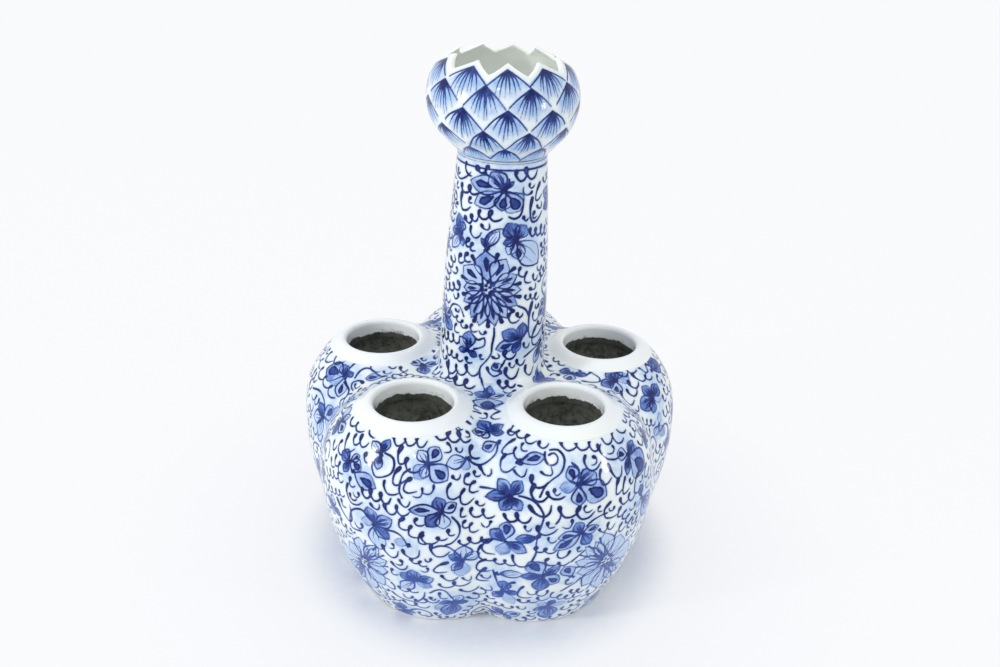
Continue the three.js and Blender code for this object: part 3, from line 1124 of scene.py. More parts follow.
    bold_curls: tuple[tuple[float, ...], ...] = (
        (361, 491, 393, 498, 3, 0.62), (435, 433, 473, 438, 3, 0.55), (470, 449, 481, 456, 1, 0.5),
        (478, 169, 487, 168, 1, 0.5), (487, 168, 491, 177, 1, 0.4), (517, 174, 539, 168, 2, 0.6),
        (461, 186, 478, 192, 2, 0.4), (461, 197, 472, 204, 1, 0.6), (478, 213, 505, 217, 2, 0.45),
        (533, 511, 552, 503, 1, 0.5), (561, 511, 597, 511, 2, 0.45), (505, 517, 532, 517, 2, 0.4),
        (531, 480, 549, 480, 1, 0.4), (531, 490, 548, 494, 1, 0.5), (548, 494, 566, 496, 1, 0.25),
        (499, 383, 517, 382, 2, 0.5), (455, 379, 476, 385, 2, 0.5), (505, 372, 520, 368, 1, 0.5),
        (532, 205, 542, 208, 1, 0.8), (504, 354, 516, 353, 1, 0.5), (466, 164, 472, 176, 1, 0.25),
    )
    curls: tuple[tuple[float, ...], ...] = (
        (394, 436, 430, 441, 3, 0.7), (372, 427, 375, 436, 1, 0.4), (365, 455, 372, 461, 1, 0.5),
        (399, 451, 412, 456, 1, 0.75), (406, 461, 420, 468, 1, 0.5), (396, 471, 408, 480, 1, 0.75),
        (408, 480, 418, 493, 1, 0.6), (384, 484, 399, 490, 1, 0.5), (347, 438, 356, 447, 1, 0.6),
        (341, 441, 343, 455, 1, 0.4), (455, 422, 465, 429, 1, 0.7), (480, 470, 493, 467, 1, 0.75),
        (466, 475, 481, 491, 2, 0.6), (448, 487, 477, 499, 2, 0.6), (385, 508, 410, 510, 2, 0.5),
        (400, 521, 434, 546, 3, 0.5), (383, 548, 399, 550, 1, 0.6), (403, 553, 419, 550, 1, 0.45),
        (346, 487, 361, 497, 1, 0.7), (339, 503, 350, 505, 1, 0.8), (470, 510, 497, 513, 2, 0.45),
        (459, 541, 493, 539, 3, 0.4), (487, 541, 496, 556, 1, 0.5), (479, 548, 497, 557, 1, 0.5),
        (421, 537, 438, 539, 1, 0.5), (438, 539, 448, 538, 1, 0.25), (431, 549, 448, 551, 1, 0.5),
        (393, 564, 408, 565, 1, 0.5), (411, 560, 430, 566, 2, 0.4), (399, 588, 420, 592, 2, 0.35),
        (397, 596, 420, 592, 1, 0.4), (415, 601, 438, 600, 2, 0.4), (404, 602, 431, 607, 2, 0.4),
        (442, 564, 449, 572, 1, 0.9), (443, 577, 457, 576, 1, 0.5), (440, 586, 471, 582, 2, 0.35),
        (462, 590, 480, 585, 1, 0.3), (480, 561, 492, 570, 1, 0.6), (482, 571, 493, 580, 1, 0.7),
        (494, 560, 518, 564, 2, 0.4), (513, 559, 530, 562, 1, 0.55), (512, 583, 519, 592, 1, 0.6),
        (521, 589, 535, 596, 1, 0.7), (519, 601, 539, 601, 2, 0.35), (535, 549, 557, 551, 2, 0.35),
        (537, 530, 556, 527, 1, 0.45), (546, 560, 558, 563, 1, 0.5), (559, 564, 569, 561, 1, 0.4),
        (606, 507, 619, 510, 1, 0.5), (510, 442, 514, 452, 1, 0.8), (514, 450, 527, 455, 1, 0.5),
        (502, 457, 516, 465, 1, 0.6), (508, 432, 517, 431, 1, 0.4), (517, 431, 536, 440, 2, 0.5),
        (562, 443, 602, 443, 3, 0.5), (600, 449, 619, 454, 1, 0.35), (584, 459, 600, 460, 1, 0.55),
        (600, 434, 625, 435, 2, 0.6), (614, 426, 627, 429, 1, 0.4), (600, 473, 612, 475, 1, 0.7),
        (611, 470, 622, 464, 1, 0.8), (618, 483, 632, 485, 2, 0.9), (637, 476, 645, 480, 1, 0.8),
        (514, 425, 520, 430, 1, 0.7), (441, 374, 452, 381, 2, 0.35), (445, 366, 480, 369, 3, 0.5),
        (488, 370, 501, 369, 1, 0.5), (525, 370, 534, 364, 1, 0.6), (469, 400, 480, 411, 2, 0.3),
        (478, 412, 476, 420, 1, 0.7), (500, 404, 501, 410, 1, 0.5), (496, 413, 500, 418, 1, 0.6),
        (466, 420, 463, 430, 1, 0.9), (456, 169, 467, 168, 1, 0.35), (538, 188, 543, 192, 1, 0.9),
        (470, 230, 481, 231, 1, 0.55), (533, 311, 545, 312, 1, 0.8), (534, 332, 541, 336, 1, 0.7),
        (520, 270, 533, 280, 2, 0.5), (509, 316, 520, 318, 1, 0.5), (331, 352, 334, 360, 1, 0.6),
        (338, 354, 344, 361, 1, 0.6), (320, 368, 335, 397, 3, 0.4), (362, 381, 353, 392, 1, 0.5),
        (351, 419, 366, 430, 2, 0.4), (581, 364, 594, 366, 1, 0.35), (586, 382, 589, 374, 1, 0.8),
        (615, 364, 637, 366, 2, 0.4), (635, 363, 644, 362, 1, 0.5), (640, 357, 646, 354, 1, 0.6),
        (634, 376, 645, 371, 1, 0.5), (645, 377, 651, 375, 1, 0.4), (629, 384, 638, 380, 1, 0.5),
        (628, 392, 638, 388, 1, 0.5), (621, 395, 634, 397, 1, 0.6), (657, 376, 661, 383, 1, 0.4),
        (372, 364, 380, 371, 1, 0.4), (389, 366, 397, 366, 1, 0.5), (455, 165, 457, 178, 1, 0.3),
        (448, 366, 458, 369, 1, 0.7), (545, 362, 555, 372, 2, 0.5), (556, 356, 566, 366, 2, 0.4),
    )
    stems: tuple[tuple[Pair, ...], ...] = (
        ((550, 450), (558, 450), (564, 457), (564, 466), (560, 474), (552, 480), (545, 487), (540, 497)),
        ((545, 452), (545, 459), (549, 465), (556, 464), (558, 458), (554, 453), (549, 455)),
        ((466, 457), (470, 461), (478, 465), (487, 462), (496, 453), (498, 443)),
        ((430, 549), (440, 546), (450, 548), (460, 556)),
        ((452, 517), (459, 525), (459, 535), (452, 543), (446, 545)),
        ((385, 453), (393, 458), (394, 467), (389, 475), (376, 477), (372, 468), (372, 462)),
        ((386, 530), (395, 532), (403, 538), (408, 547)),
        ((371, 520), (366, 514), (360, 509), (352, 510), (350, 518), (352, 527), (361, 531)),
        ((519, 496), (527, 498), (535, 502), (541, 509), (544, 517), (541, 527), (538, 536), (536, 546), (536, 553),
         (532, 561)),
        ((556, 524), (560, 519), (561, 512)), ((430, 593), (437, 590), (445, 591), (452, 598)),
        ((493, 570), (495, 576), (498, 584), (503, 590)), ((587, 526), (592, 521), (600, 516), (607, 513)),
        ((572, 463), (578, 468), (579, 474), (573, 479)), ((400, 485), (399, 491), (402, 498)),
        ((410, 469), (403, 474), (400, 483)),
        ((486, 250), (486, 238), (493, 231), (502, 229), (509, 233), (513, 240)),
        ((509, 217), (514, 219), (520, 216), (523, 208), (523, 200), (517, 195), (509, 192)),
        ((494, 328), (494, 336), (492, 345), (491, 354), (486, 361), (480, 368), (480, 378)),
        ((518, 306), (526, 310), (529, 320), (527, 331), (522, 338)), ((524, 357), (532, 350), (539, 343)),
        ((505, 360), (502, 366), (498, 371)), ((481, 378), (483, 386), (487, 392)),
        ((350, 368), (356, 362), (365, 362), (372, 365)),
        ((355, 378), (360, 371), (367, 368), (374, 371), (379, 376), (387, 376)),
        ((313, 388), (320, 391), (324, 400), (325, 410)),
        ((344, 382), (349, 390), (346, 397), (340, 402), (336, 411)),
        ((589, 373), (596, 368), (603, 365), (610, 366), (616, 372)), ((480, 541), (490, 539), (502, 541)),
        ((561, 591), (568, 587), (576, 582), (580, 578)), ((480, 487), (488, 488), (498, 490)),
        ((571, 562), (577, 557), (584, 551)), ((472, 334), (478, 340), (484, 338), (484, 346), (474, 349)),
    )


@dataclass
class PaintedGarden:
    """The scroll of flowers, curls and stems all over the vase."""

    canvas: Canvas
    layout: ScrollLayout = field(default_factory=ScrollLayout)
    seed: int = 7
    stem: float = 0.48
    longest_reach: float = 22.0
    column_start: float = 112.0
    column_size: float = 0.86
    column_weight: float = 1.12
    column_clear: float = 0.66

    def paint(self) -> None:
        """Paint everything: the motifs that are seen, then flowers all round, stems, and curls in the gaps."""
        self.canvas.hand = np.random.default_rng(self.seed)
        self.scatter_flowers(self.paint_seen())
        self.fill_gaps()

    def paint_seen(self) -> list[tuple[Array, float]]:
        """Paint the motifs that the photograph shows.

        Returns:
            The flowers' places and radii.
        """
        canvas, placed = self.canvas, []
        for across, down, pigment, tips in self.layout.daisies:
            spot = canvas.spot_seen((across, down))
            petals = [self.seen_reach(spot, tip) for tip in tips]
            Daisy(petals, pigment).paint(canvas, spot)
            placed.append((spot.point, float(np.mean([length for _, length in petals]))))
        for stem in self.layout.stems:
            points = [tuple(canvas.spot_seen(pixel).point) for pixel in stem]
            canvas.vine(through(points, 8), self.stem, 0.85)
        for across, down, pigment, tips in self.layout.flowers:
            spot = canvas.spot_seen((across, down))
            petals = []
            for x, y, kind, share in tips:
                angle, length = self.seen_reach(spot, (x, y))
                petals.append((angle, length, max(length * share, 0.9), kind))
            Flower(petals, pigment).paint(canvas, spot)
            placed.append((spot.point, 0.8 * max(petal[1] for petal in petals)))
        for curls, weight, depth in ((self.layout.bold_curls, 1.25, 1.0), (self.layout.curls, 1.0, 0.9)):
            for x0, y0, x1, y1, cups, sag in curls:
                self.seen_curl((x0, y0), (x1, y1), int(cups), sag, weight, depth)
        return placed

    def seen_reach(self, spot: Spot, pixel: Pair) -> Pair:
        """Return the angle and the distance from a spot to where the photograph shows a pixel."""
        reach = self.canvas.spot_seen(pixel).point - spot.point
        length = min(float(np.linalg.norm(reach)), self.longest_reach)
        return math.atan2(float(reach @ spot.up), float(reach @ spot.right)), length

    def seen_curl(self, start: Pair, end: Pair, cups: int, sag: float, weight: float, pigment: float) -> None:
        """Paint one chain of cups between two pixels.

        Args:
            start: Pixel of its first knob.
            end: Pixel of its tail.
            cups: How many cups it has.
            sag: Depth of a cup as a share of its width.
            weight: How broad the brush is.
            pigment: How dark it is.
        """
        canvas = self.canvas
        first, last = canvas.spot_seen(start).point, canvas.spot_seen(end).point
        spot = canvas.spot_seen(((start[0] + end[0]) / 2, (start[1] + end[1]) / 2))
        reach = last - first
        reach = reach - (reach @ spot.normal) * spot.normal
        length = max(float(np.linalg.norm(reach)), 1.5)
        spot.right = reach / length
        spot.up = np.cross(spot.normal, spot.right)
        width = length / cups
        Curl(cups, width, width * sag, weight, pigment=pigment).paint(canvas, spot, 0.0)

    def scatter_flowers(self, placed: list[tuple[Array, float]]) -> None:
        """Paint flowers, each with a stem or two, where the photograph doesn't look.

        Args:
            placed: Places and radii of the flowers so far.
        """
        canvas, rng = self.canvas, self.canvas.hand
        centres = [point for point, _ in placed]
        radii = [radius for _, radius in placed]
        free = np.nonzero(~canvas.blank)[0]
        for big, tries in ((True, 300), (False, 7000)):
            for index in rng.choice(free, tries, replace=False):
                radius = rng.uniform(13.0, 15.0) if big else rng.uniform(6.4, 9.2)
                gap = 30.0 if big else 2.0
                away = np.linalg.norm(np.array(centres) - canvas.points[index], axis=1) - np.array(radii)
                if away.min() < radius + gap:
                    continue
                ring = canvas.near(canvas.points[index], radius * 0.7)
                if canvas.blank[ring].any() or canvas.layers[Layer.LINE][ring].min() < 0.0:
                    continue
                spot = canvas.spot(int(index), UP)
                if big:
                    Daisy.grown(rng, radius, rng.uniform(0.6, 0.9)).paint(canvas, spot)
                else:
                    self.sprig(spot.turned_by(rng.uniform(-math.pi, math.pi)), radius)
                    Flower.grown(rng, radius).paint(canvas, spot)
                centres.append(canvas.points[index])
                radii.append(radius * 0.8)

    def sprig(self, spot: Spot, radius: float) -> None:
        """Draw a stem that sweeps out of a flower and rolls up beside it.

        Args:
            spot: The flower's heart, turned towards the stem.
            radius: The flower's radius.
        """
        rng = self.canvas.hand
        side = rng.choice([-1.0, 1.0])
        knots = [(0.5, 0.0), (1.15, 0.35 * side), (1.75, 0.05 * side), (1.85, -0.6 * side), (1.4, -0.75 * side)]
        if rng.random() < 0.5:
            knots = knots[:4]
        flat = through(knots, 6) * radius
        self.canvas.vine(spot.world(flat), self.stem * rng.uniform(0.85, 1.1), rng.uniform(0.7, 0.9))

    def fill_gaps(self) -> None:
        """Fill the ground with curls, the longest first, and small ones in what is left."""
        canvas, rng = self.canvas, self.canvas.hand
        line, petal = canvas.layers[Layer.LINE], canvas.layers[Layer.PETAL]
        plan = (
            (4, 4.8, 5000, 0.9), (3, 4.8, 7000, 0.8), (2, 4.8, 8000, 0.74), (1, 4.7, 9000, 0.68), (1, 3.3, 5000, 0.8),
        )
        for cups, width, tries, clear in plan:
            free = np.nonzero((~canvas.blank) & (line > clear + 0.5) & (petal > clear + 0.4))[0]
            if not len(free):
                break
            drawn = 0
            for index in rng.choice(free, min(tries, len(free)), replace=False):
                if line[index] < clear + 0.5:
                    continue
                on_column = canvas.points[index, 2] > self.column_start
                size = rng.uniform(0.82, 1.12) * (self.column_size if on_column else 1.0)
                curl = Curl(
                    cups=cups,
                    width=width * size,
                    depth=width * size * rng.uniform(0.45, 0.7),
                    weight=(rng.uniform(0.8, 1.1) if width > 3 else 0.8) * (self.column_weight if on_column else 1.0),
                    bend=rng.uniform(-0.06, 0.06),
                    flip=bool(rng.random() < 0.25),
                    pigment=rng.uniform(0.7, 1.0),
                )
                spot = canvas.spot(int(index), UP).turned_by(rng.normal(0.0, 0.45))
                drawn += curl.paint(canvas, spot, clear * (self.column_clear if on_column else 1.0))
            log.info("curls of %d cups, %.1f mm wide: %d drawn", cups, width, drawn)


@dataclass
class ScalePainting:
    """The lotus scales round the bud: outlined diamonds, each with a fan of fine strokes."""

    canvas: Canvas
    tooth_angles: tuple[float, ...]
    bud_spot: Callable[[float, float], Spot]
    seed: int = 11
    heights: tuple[float, ...] = (250.2, 242.6, 233.5, 224.2, 215.8, 209.6)

    def paint(self) -> None:
        """Paint the rows of scales."""
        self.canvas.hand = np.random.default_rng(self.seed)
        turns = np.array(self.tooth_angles)
        middles = (turns + np.roll(turns, -1) + np.where(np.arange(len(turns)) == len(turns) - 1, 360, 0)) / 2
        for row in range(5):
            angles, beside = (turns, middles) if row % 2 == 0 else (middles, turns)
            for angle in angles:
                gaps = (beside - angle + 180) % 360 - 180
                self.scale(angle, row, gaps[gaps < 0].max(), gaps[gaps > 0].min())

    def scale(self, angle: float, row: int, left: float, right: float) -> None:
        """Paint one scale.

        Args:
            angle: Where the scale's tip points, in degrees.
            row: Its row, counted from the teeth.
            left: Degrees to the tip on the left in the row below.
            right: Degrees to the tip on the right in the row below.
        """
        rng = self.canvas.hand
        top = self.heights[row] - (1.9 if row == 0 else rng.uniform(0.0, 0.8))
        low = self.heights[row + 1] + rng.uniform(-0.4, 0.4)
        spot = self.bud_spot(angle, (top + low) / 2)
        wide = max(abs(left), right)
        patch = self.canvas.flat(spot, 10.0)

        def place(turn: float, height: float) -> Array:
            """Return the flat place of a point of the bud."""
            point = self.bud_spot(angle + turn, height).point - spot.point
            flat = np.array([point @ spot.right, point @ spot.up])
            return flat * np.linalg.norm(point) / max(np.linalg.norm(flat), 1e-3)

        tip = place(rng.uniform(-0.8, 0.8), top)
        depth = 0.95 if row < 4 else 0.7
        for side in (left, right):
            end = place(side, low)
            middle = place(side * 0.52, top + (low - top) * 0.42)
            path = through([tuple(tip), tuple(middle), tuple(end)], 6)
            widths = np.linspace(0.5, 0.3, len(path))
            patch.brush(path, widths, np.linspace(depth, depth * 0.7, len(path)))
        floor = self.heights[min(row + 2, 5)]
        count = int(rng.integers(6, 9))
        for k in range(count):
            share = (k + 0.5 + rng.uniform(-0.2, 0.2)) / count
            turn = (left + (right - left) * share) * 0.66
            down = top + (floor - top) * rng.uniform(0.62, 0.86) * (1 - 0.32 * abs(2 * share - 1))
            end = place(turn, down)
            near_tip = tip + (end - tip) * 0.04
            bow = near_tip + (end - near_tip) * 0.5 + np.array([0.1 * (share - 0.5) * wide, 0.35])
            path = through([tuple(near_tip), tuple(bow), tuple(end)], 4)
            widths = np.linspace(rng.uniform(0.5, 0.7), 0.12, len(path))
            patch.brush(path, widths, np.linspace(min(1.0, depth * 1.15), depth * 0.5, len(path)))
        glow = patch.at - tip
        fan = np.linalg.norm(glow, axis=1)
        steep = (tip - place(right, low))[1] / max((place(right, low) - tip)[0], 1.0)
        below = smooth_share(-glow[:, 1] - 0.85 * steep * np.abs(glow[:, 0]), -0.3, 0.5)
        # the broad wash below each tip is cobalt wash and also painted shade, strong and wide to darken the bud's
        # lower half
        wash = 1.6 * (1 - smooth_share(fan, 0.0, 6.0)) + 0.95 * (1 - smooth_share(fan, 5.0, 17.0))
        patch.tint(below * wash)


# Shader bench


class Wire:
    """A shader value, with arithmetic that adds Math nodes."""

    def __init__(self, bench: "Bench", socket: bpy.types.NodeSocket | None) -> None:
        """Keep the socket and the bench that it belongs to."""
        self.bench = bench
        self.socket = socket

    def math(self, operation: str, *others: "Wire | float") -> "Wire":
        """Return a Math node's result on this value and others."""
        return self.bench.add("ShaderNodeMath", {"operation": operation}, dict(enumerate([self, *others])))

    def __add__(self, other: "Wire | float") -> "Wire":
        """Return the sum."""
        return self.math("ADD", other)

    __radd__ = __add__

    def __mul__(self, other: "Wire | float") -> "Wire":
        """Return the product."""
        return self.math("MULTIPLY", other)

    __rmul__ = __mul__

    def __sub__(self, other: "Wire | float") -> "Wire":
        """Return the difference."""
        return self.math("SUBTRACT", other)

    def __rsub__(self, other: "Wire | float") -> "Wire":
        """Return the difference, the other way round."""
        return self.bench.add("ShaderNodeMath", {"operation": "SUBTRACT"}, {0: other, 1: self})

    def ramp(self, low: float, high: float, start: float = 0.0, end: float = 1.0) -> "Wire":
        """Return a smooth change from start at low to end at high."""
        return self.bench.add(
            "ShaderNodeMapRange",
            {"interpolation_type": "SMOOTHSTEP", "clamp": True},
            {"Value": self, "From Min": low, "From Max": high, "To Min": start, "To Max": end},
        )


class Bench:
    """The node tree of a material or the world, and the one way that nodes are added to it."""

    def __init__(self, owner: bpy.types.Material | bpy.types.World) -> None:
        """Start with no nodes."""
        owner.use_nodes = True
        self.owner = owner
        self.tree = owner.node_tree
        self.tree.nodes.clear()

    @classmethod
    def of_material(cls, name: str) -> "Bench":
        """Return a bench for a new material."""
        return cls(bpy.data.materials.new(name))

    def add(self, kind: str, settings: dict | None = None, inputs: dict | None = None, output: int | str = 0) -> Wire:
        """Add a node.

        Args:
            kind: The node's type.
            settings: Its settings, set before its sockets.
            inputs: Values or wires by socket name or number.
            output: The output to return.

        Returns:
            The chosen output, of a node that has any.
        """
        node = self.tree.nodes.new(kind)
        for key, value in (settings or {}).items():
            setattr(node, key, value)
        for key, value in (inputs or {}).items():
            if isinstance(value, Wire):
                self.tree.links.new(value.socket, node.inputs[key])
            else:
                node.inputs[key].default_value = value
        return Wire(self, node.outputs[output] if node.outputs else None)

    def attribute(self, layer: Layer) -> Wire:
        """Return one layer of the brushwork."""
        return self.add("ShaderNodeAttribute", {"attribute_name": layer.value}, output="Fac")

    def place(self) -> Wire:
        """Return the object's coordinates."""
        return self.add("ShaderNodeTexCoord", output="Object")

    def height(self) -> Wire:
        """Return the height above the table, in metres."""
        return self.add("ShaderNodeSeparateXYZ", {}, {0: self.place()}, output="Z")

    def looked_at(self) -> Wire:
        """Return 1 where the camera looks, straight on, in a reflection or through something clear."""
        kinds = ("Camera", "Glossy", "Transmission")
        rays = [self.add("ShaderNodeLightPath", output=f"Is {kind} Ray") for kind in kinds]
        return rays[0].math("MAXIMUM", rays[1]).math("MAXIMUM", rays[2])

    def noise(self, scale: float, detail: float = 3.0, rough: float = 0.55, twist: float = 0.0) -> Wire:
        """Return a noise of this many lumps a metre."""
        sizes = {"Vector": self.place(), "Scale": scale, "Detail": detail, "Roughness": rough, "Distortion": twist}
        return self.add("ShaderNodeTexNoise", {}, sizes, output="Fac")

    def mix(self, share: Wire | float, low: "Wire | tuple", high: "Wire | tuple") -> Wire:
        """Return a colour between two colours."""
        inputs = {0: share, 6: low, 7: high}
        return self.add("ShaderNodeMix", {"data_type": "RGBA", "clamp_factor": True}, inputs, output=2)

    def bump(self, height: Wire, strength: float, distance: float) -> Wire:
        """Return a normal that follows a height."""
        return self.add("ShaderNodeBump", {}, {"Height": height, "Strength": strength, "Distance": distance})

    def surface(self, inputs: dict) -> bpy.types.Material:
        """Finish the material with a Principled shader on these inputs."""
        return self.show(self.add("ShaderNodeBsdfPrincipled", {}, inputs))

    def show(self, shader: Wire, output: str = "ShaderNodeOutputMaterial") -> bpy.types.Material:
        """Finish the material, or the world, with a shader."""
        self.add(output, {}, {"Surface": shader})
        return self.owner


def colour(red: float, green: float, blue: float) -> tuple[float, float, float, float]:
    """Return a colour given in display steps of 0 to 255 as the shader's own values."""
    shares = [step / 255 for step in (red, green, blue)]
    linear = [share / 12.92 if share <= 0.04045 else ((share + 0.055) / 1.055) ** 2.4 for share in shares]
    return (*linear, 1.0)


@dataclass(frozen=True)
class ClearGlaze:
    """White porcelain under a clear glaze, which drifts between two near whites."""

    cool: tuple = colour(228, 237, 242)
    warm: tuple = colour(233, 239, 236)
    speck: tuple = colour(120, 100, 80)
    roughness: float = 0.16

    def ground(self, bench: Bench) -> Wire:
        """Return the white of the body with its slow drift and a few iron specks."""
        drift = bench.noise(26.0, 2.0).ramp(0.38, 0.64)
        white = bench.mix(drift, self.cool, self.warm)
        spots = bench.noise(620.0, 1.0, 0.4).ramp(0.83, 0.87)
        return bench.mix(spots * 0.5, white, self.speck)

    def gloss(self, bench: Bench, colour_wire: Wire) -> dict:
        """Return the inputs that every glazed surface shares."""
        ripple = bench.noise(95.0, 2.0) + bench.noise(420.0, 1.0) * 0.18
        return {
            "Base Color": colour_wire,
            "Roughness": bench.noise(60.0, 2.0).ramp(0.3, 0.7, self.roughness, self.roughness + 0.07),
            "Normal": bench.bump(ripple, 0.16, 0.0009),
            "IOR": 1.25,
            "Coat Weight": 0.26,
            "Coat Roughness": 0.04,
            "Coat IOR": 1.5,
        }

    def build(self, name: str) -> bpy.types.Material:
        """Return the plain white glaze."""
        bench = Bench.of_material(name)
        return bench.surface(self.gloss(bench, self.ground(bench)))


@dataclass(frozen=True)
class PaintedGlaze(ClearGlaze):
    """Cobalt brushwork under the clear glaze."""

    halo: tuple = colour(152, 186, 228)
    bleed: tuple = colour(164, 187, 216)
    pale: tuple = colour(182, 204, 234)
    mid: tuple = colour(76, 116, 194)
    deep_wash: tuple = colour(16, 46, 138)
    soft: tuple = colour(60, 94, 180)
    cobalt: tuple = colour(0, 18, 86)
    foot_strength: float = 0.66

    def build(self, name: str) -> bpy.types.Material:
        """Return the painted glaze."""
        bench = Bench.of_material(name)
        tremble = (bench.noise(1500.0, 1.0) - 0.5) * 0.22
        near = bench.attribute(Layer.LINE) + tremble
        petal = (bench.attribute(Layer.PETAL) + tremble).ramp(0.15, -0.15)
        pool = bench.noise(330.0, 3.0, 0.6).ramp(0.3, 0.72, 0.7, 1.25)
        broad = bench.noise(48.0, 2.0).ramp(0.3, 0.7, 0.86, 1.12)
        halo = bench.attribute(Layer.HALO) * pool
        bled = bench.mix(near.ramp(1.1, 0.0) * pool * 0.45, self.ground(bench), self.bleed)
        stain = bench.mix(halo.ramp(1.0, 2.0), bench.mix(halo.ramp(0.0, 1.0), bled, self.halo), self.mid)
        wash = bench.attribute(Layer.WASH) * pool
        leaf = bench.mix(wash.ramp(1.0, 2.2), bench.mix(wash.ramp(0.0, 1.0), self.pale, self.mid), self.deep_wash)
        washed = bench.mix(petal * 0.92, stain, leaf)
        within = near.ramp(0.0, -0.42, 0.75, 1.15) - near.ramp(-0.5, -1.3, 0.0, 0.5)
        worn = bench.height().ramp(0.01, 0.085, self.foot_strength, 1.0)
        depth = bench.attribute(Layer.PIGMENT) * pool * broad * within * worn
        ink = bench.mix(depth, self.soft, self.cobalt)
        return bench.surface(self.gloss(bench, bench.mix(near.ramp(0.16, -0.14), washed, ink)))


@dataclass(frozen=True)
class RingGlaze(ClearGlaze):
    """The mouth ring's white glaze, which stops at a ragged line inside and leaves dark clay below, painted lighter
    deeper down as painted light against the shade in the throat.
    """

    # painted light: the ring's whites are set a little brighter than the body's, for the light on its up-facing crown
    cool: tuple = colour(236, 241, 243)
    warm: tuple = colour(239, 242, 240)
    clay: tuple = colour(82, 85, 77)
    grime: tuple = colour(51, 53, 47)
    stain: tuple = colour(112, 106, 100)
    # painted light: the clay deep in the throat is lighter, to make up for the shade that falls there
    lit_deep_clay: tuple = colour(150, 153, 143)
    line_height: float = 0.1
    deep_height: float = 0.083

    def build(self, name: str) -> bpy.types.Material:
        """Return the ring's glaze."""
        bench = Bench.of_material(name)
        height = bench.height()
        ragged = height + (bench.noise(130.0, 5.0, 0.72) - 0.5) * 0.0052
        glazed = ragged.ramp(self.line_height - 0.0003, self.line_height + 0.0003)
        dirty = bench.noise(240.0, 5.0, 0.75).ramp(0.42, 0.66)
        # the clay turns lighter downwards from the glaze line: painted light against the throat's shade
        wall = bench.mix(height.ramp(self.line_height, self.deep_height), self.clay, self.lit_deep_clay)
        clay = bench.mix(dirty * 0.75, wall, self.grime)
        patchy = bench.noise(90.0, 4.0, 0.7).ramp(0.5, 0.66)
        smudge = ragged.ramp(self.line_height, self.line_height + 0.0026, 1.0, 0.0) * patchy
        inputs = self.gloss(bench, bench.mix(glazed, clay, bench.mix(smudge * 0.8, self.ground(bench), self.stain)))
        inputs["Coat Weight"] = glazed * 0.26
        inputs["Roughness"] = glazed.ramp(0.0, 1.0, 0.85, self.roughness)
        return bench.surface(inputs)


@dataclass(frozen=True)
class BareClay:
    """Unglazed clay: rough, mottled and speckled."""

    light: tuple = colour(96, 88, 76)
    dark: tuple = colour(62, 56, 48)
    speck: tuple = colour(24, 22, 20)
    grit: float = 0.5

    def build(self, name: str) -> bpy.types.Material:
        """Return the clay."""
        bench = Bench.of_material(name)
        cloud = bench.noise(110.0, 5.0, 0.7).ramp(0.3, 0.7)
        body = bench.mix(cloud, self.light, self.dark)
        specks = bench.noise(900.0, 2.0, 0.6).ramp(0.62, 0.7)
        return bench.surface({
            "Base Color": bench.mix(specks * self.grit, body, self.speck),
            "Roughness": bench.noise(300.0, 3.0).ramp(0.3, 0.7, 0.72, 0.92),
            "Normal": bench.bump(bench.noise(1400.0, 4.0, 0.7), 0.45, 0.0006),
        })


# Pieces


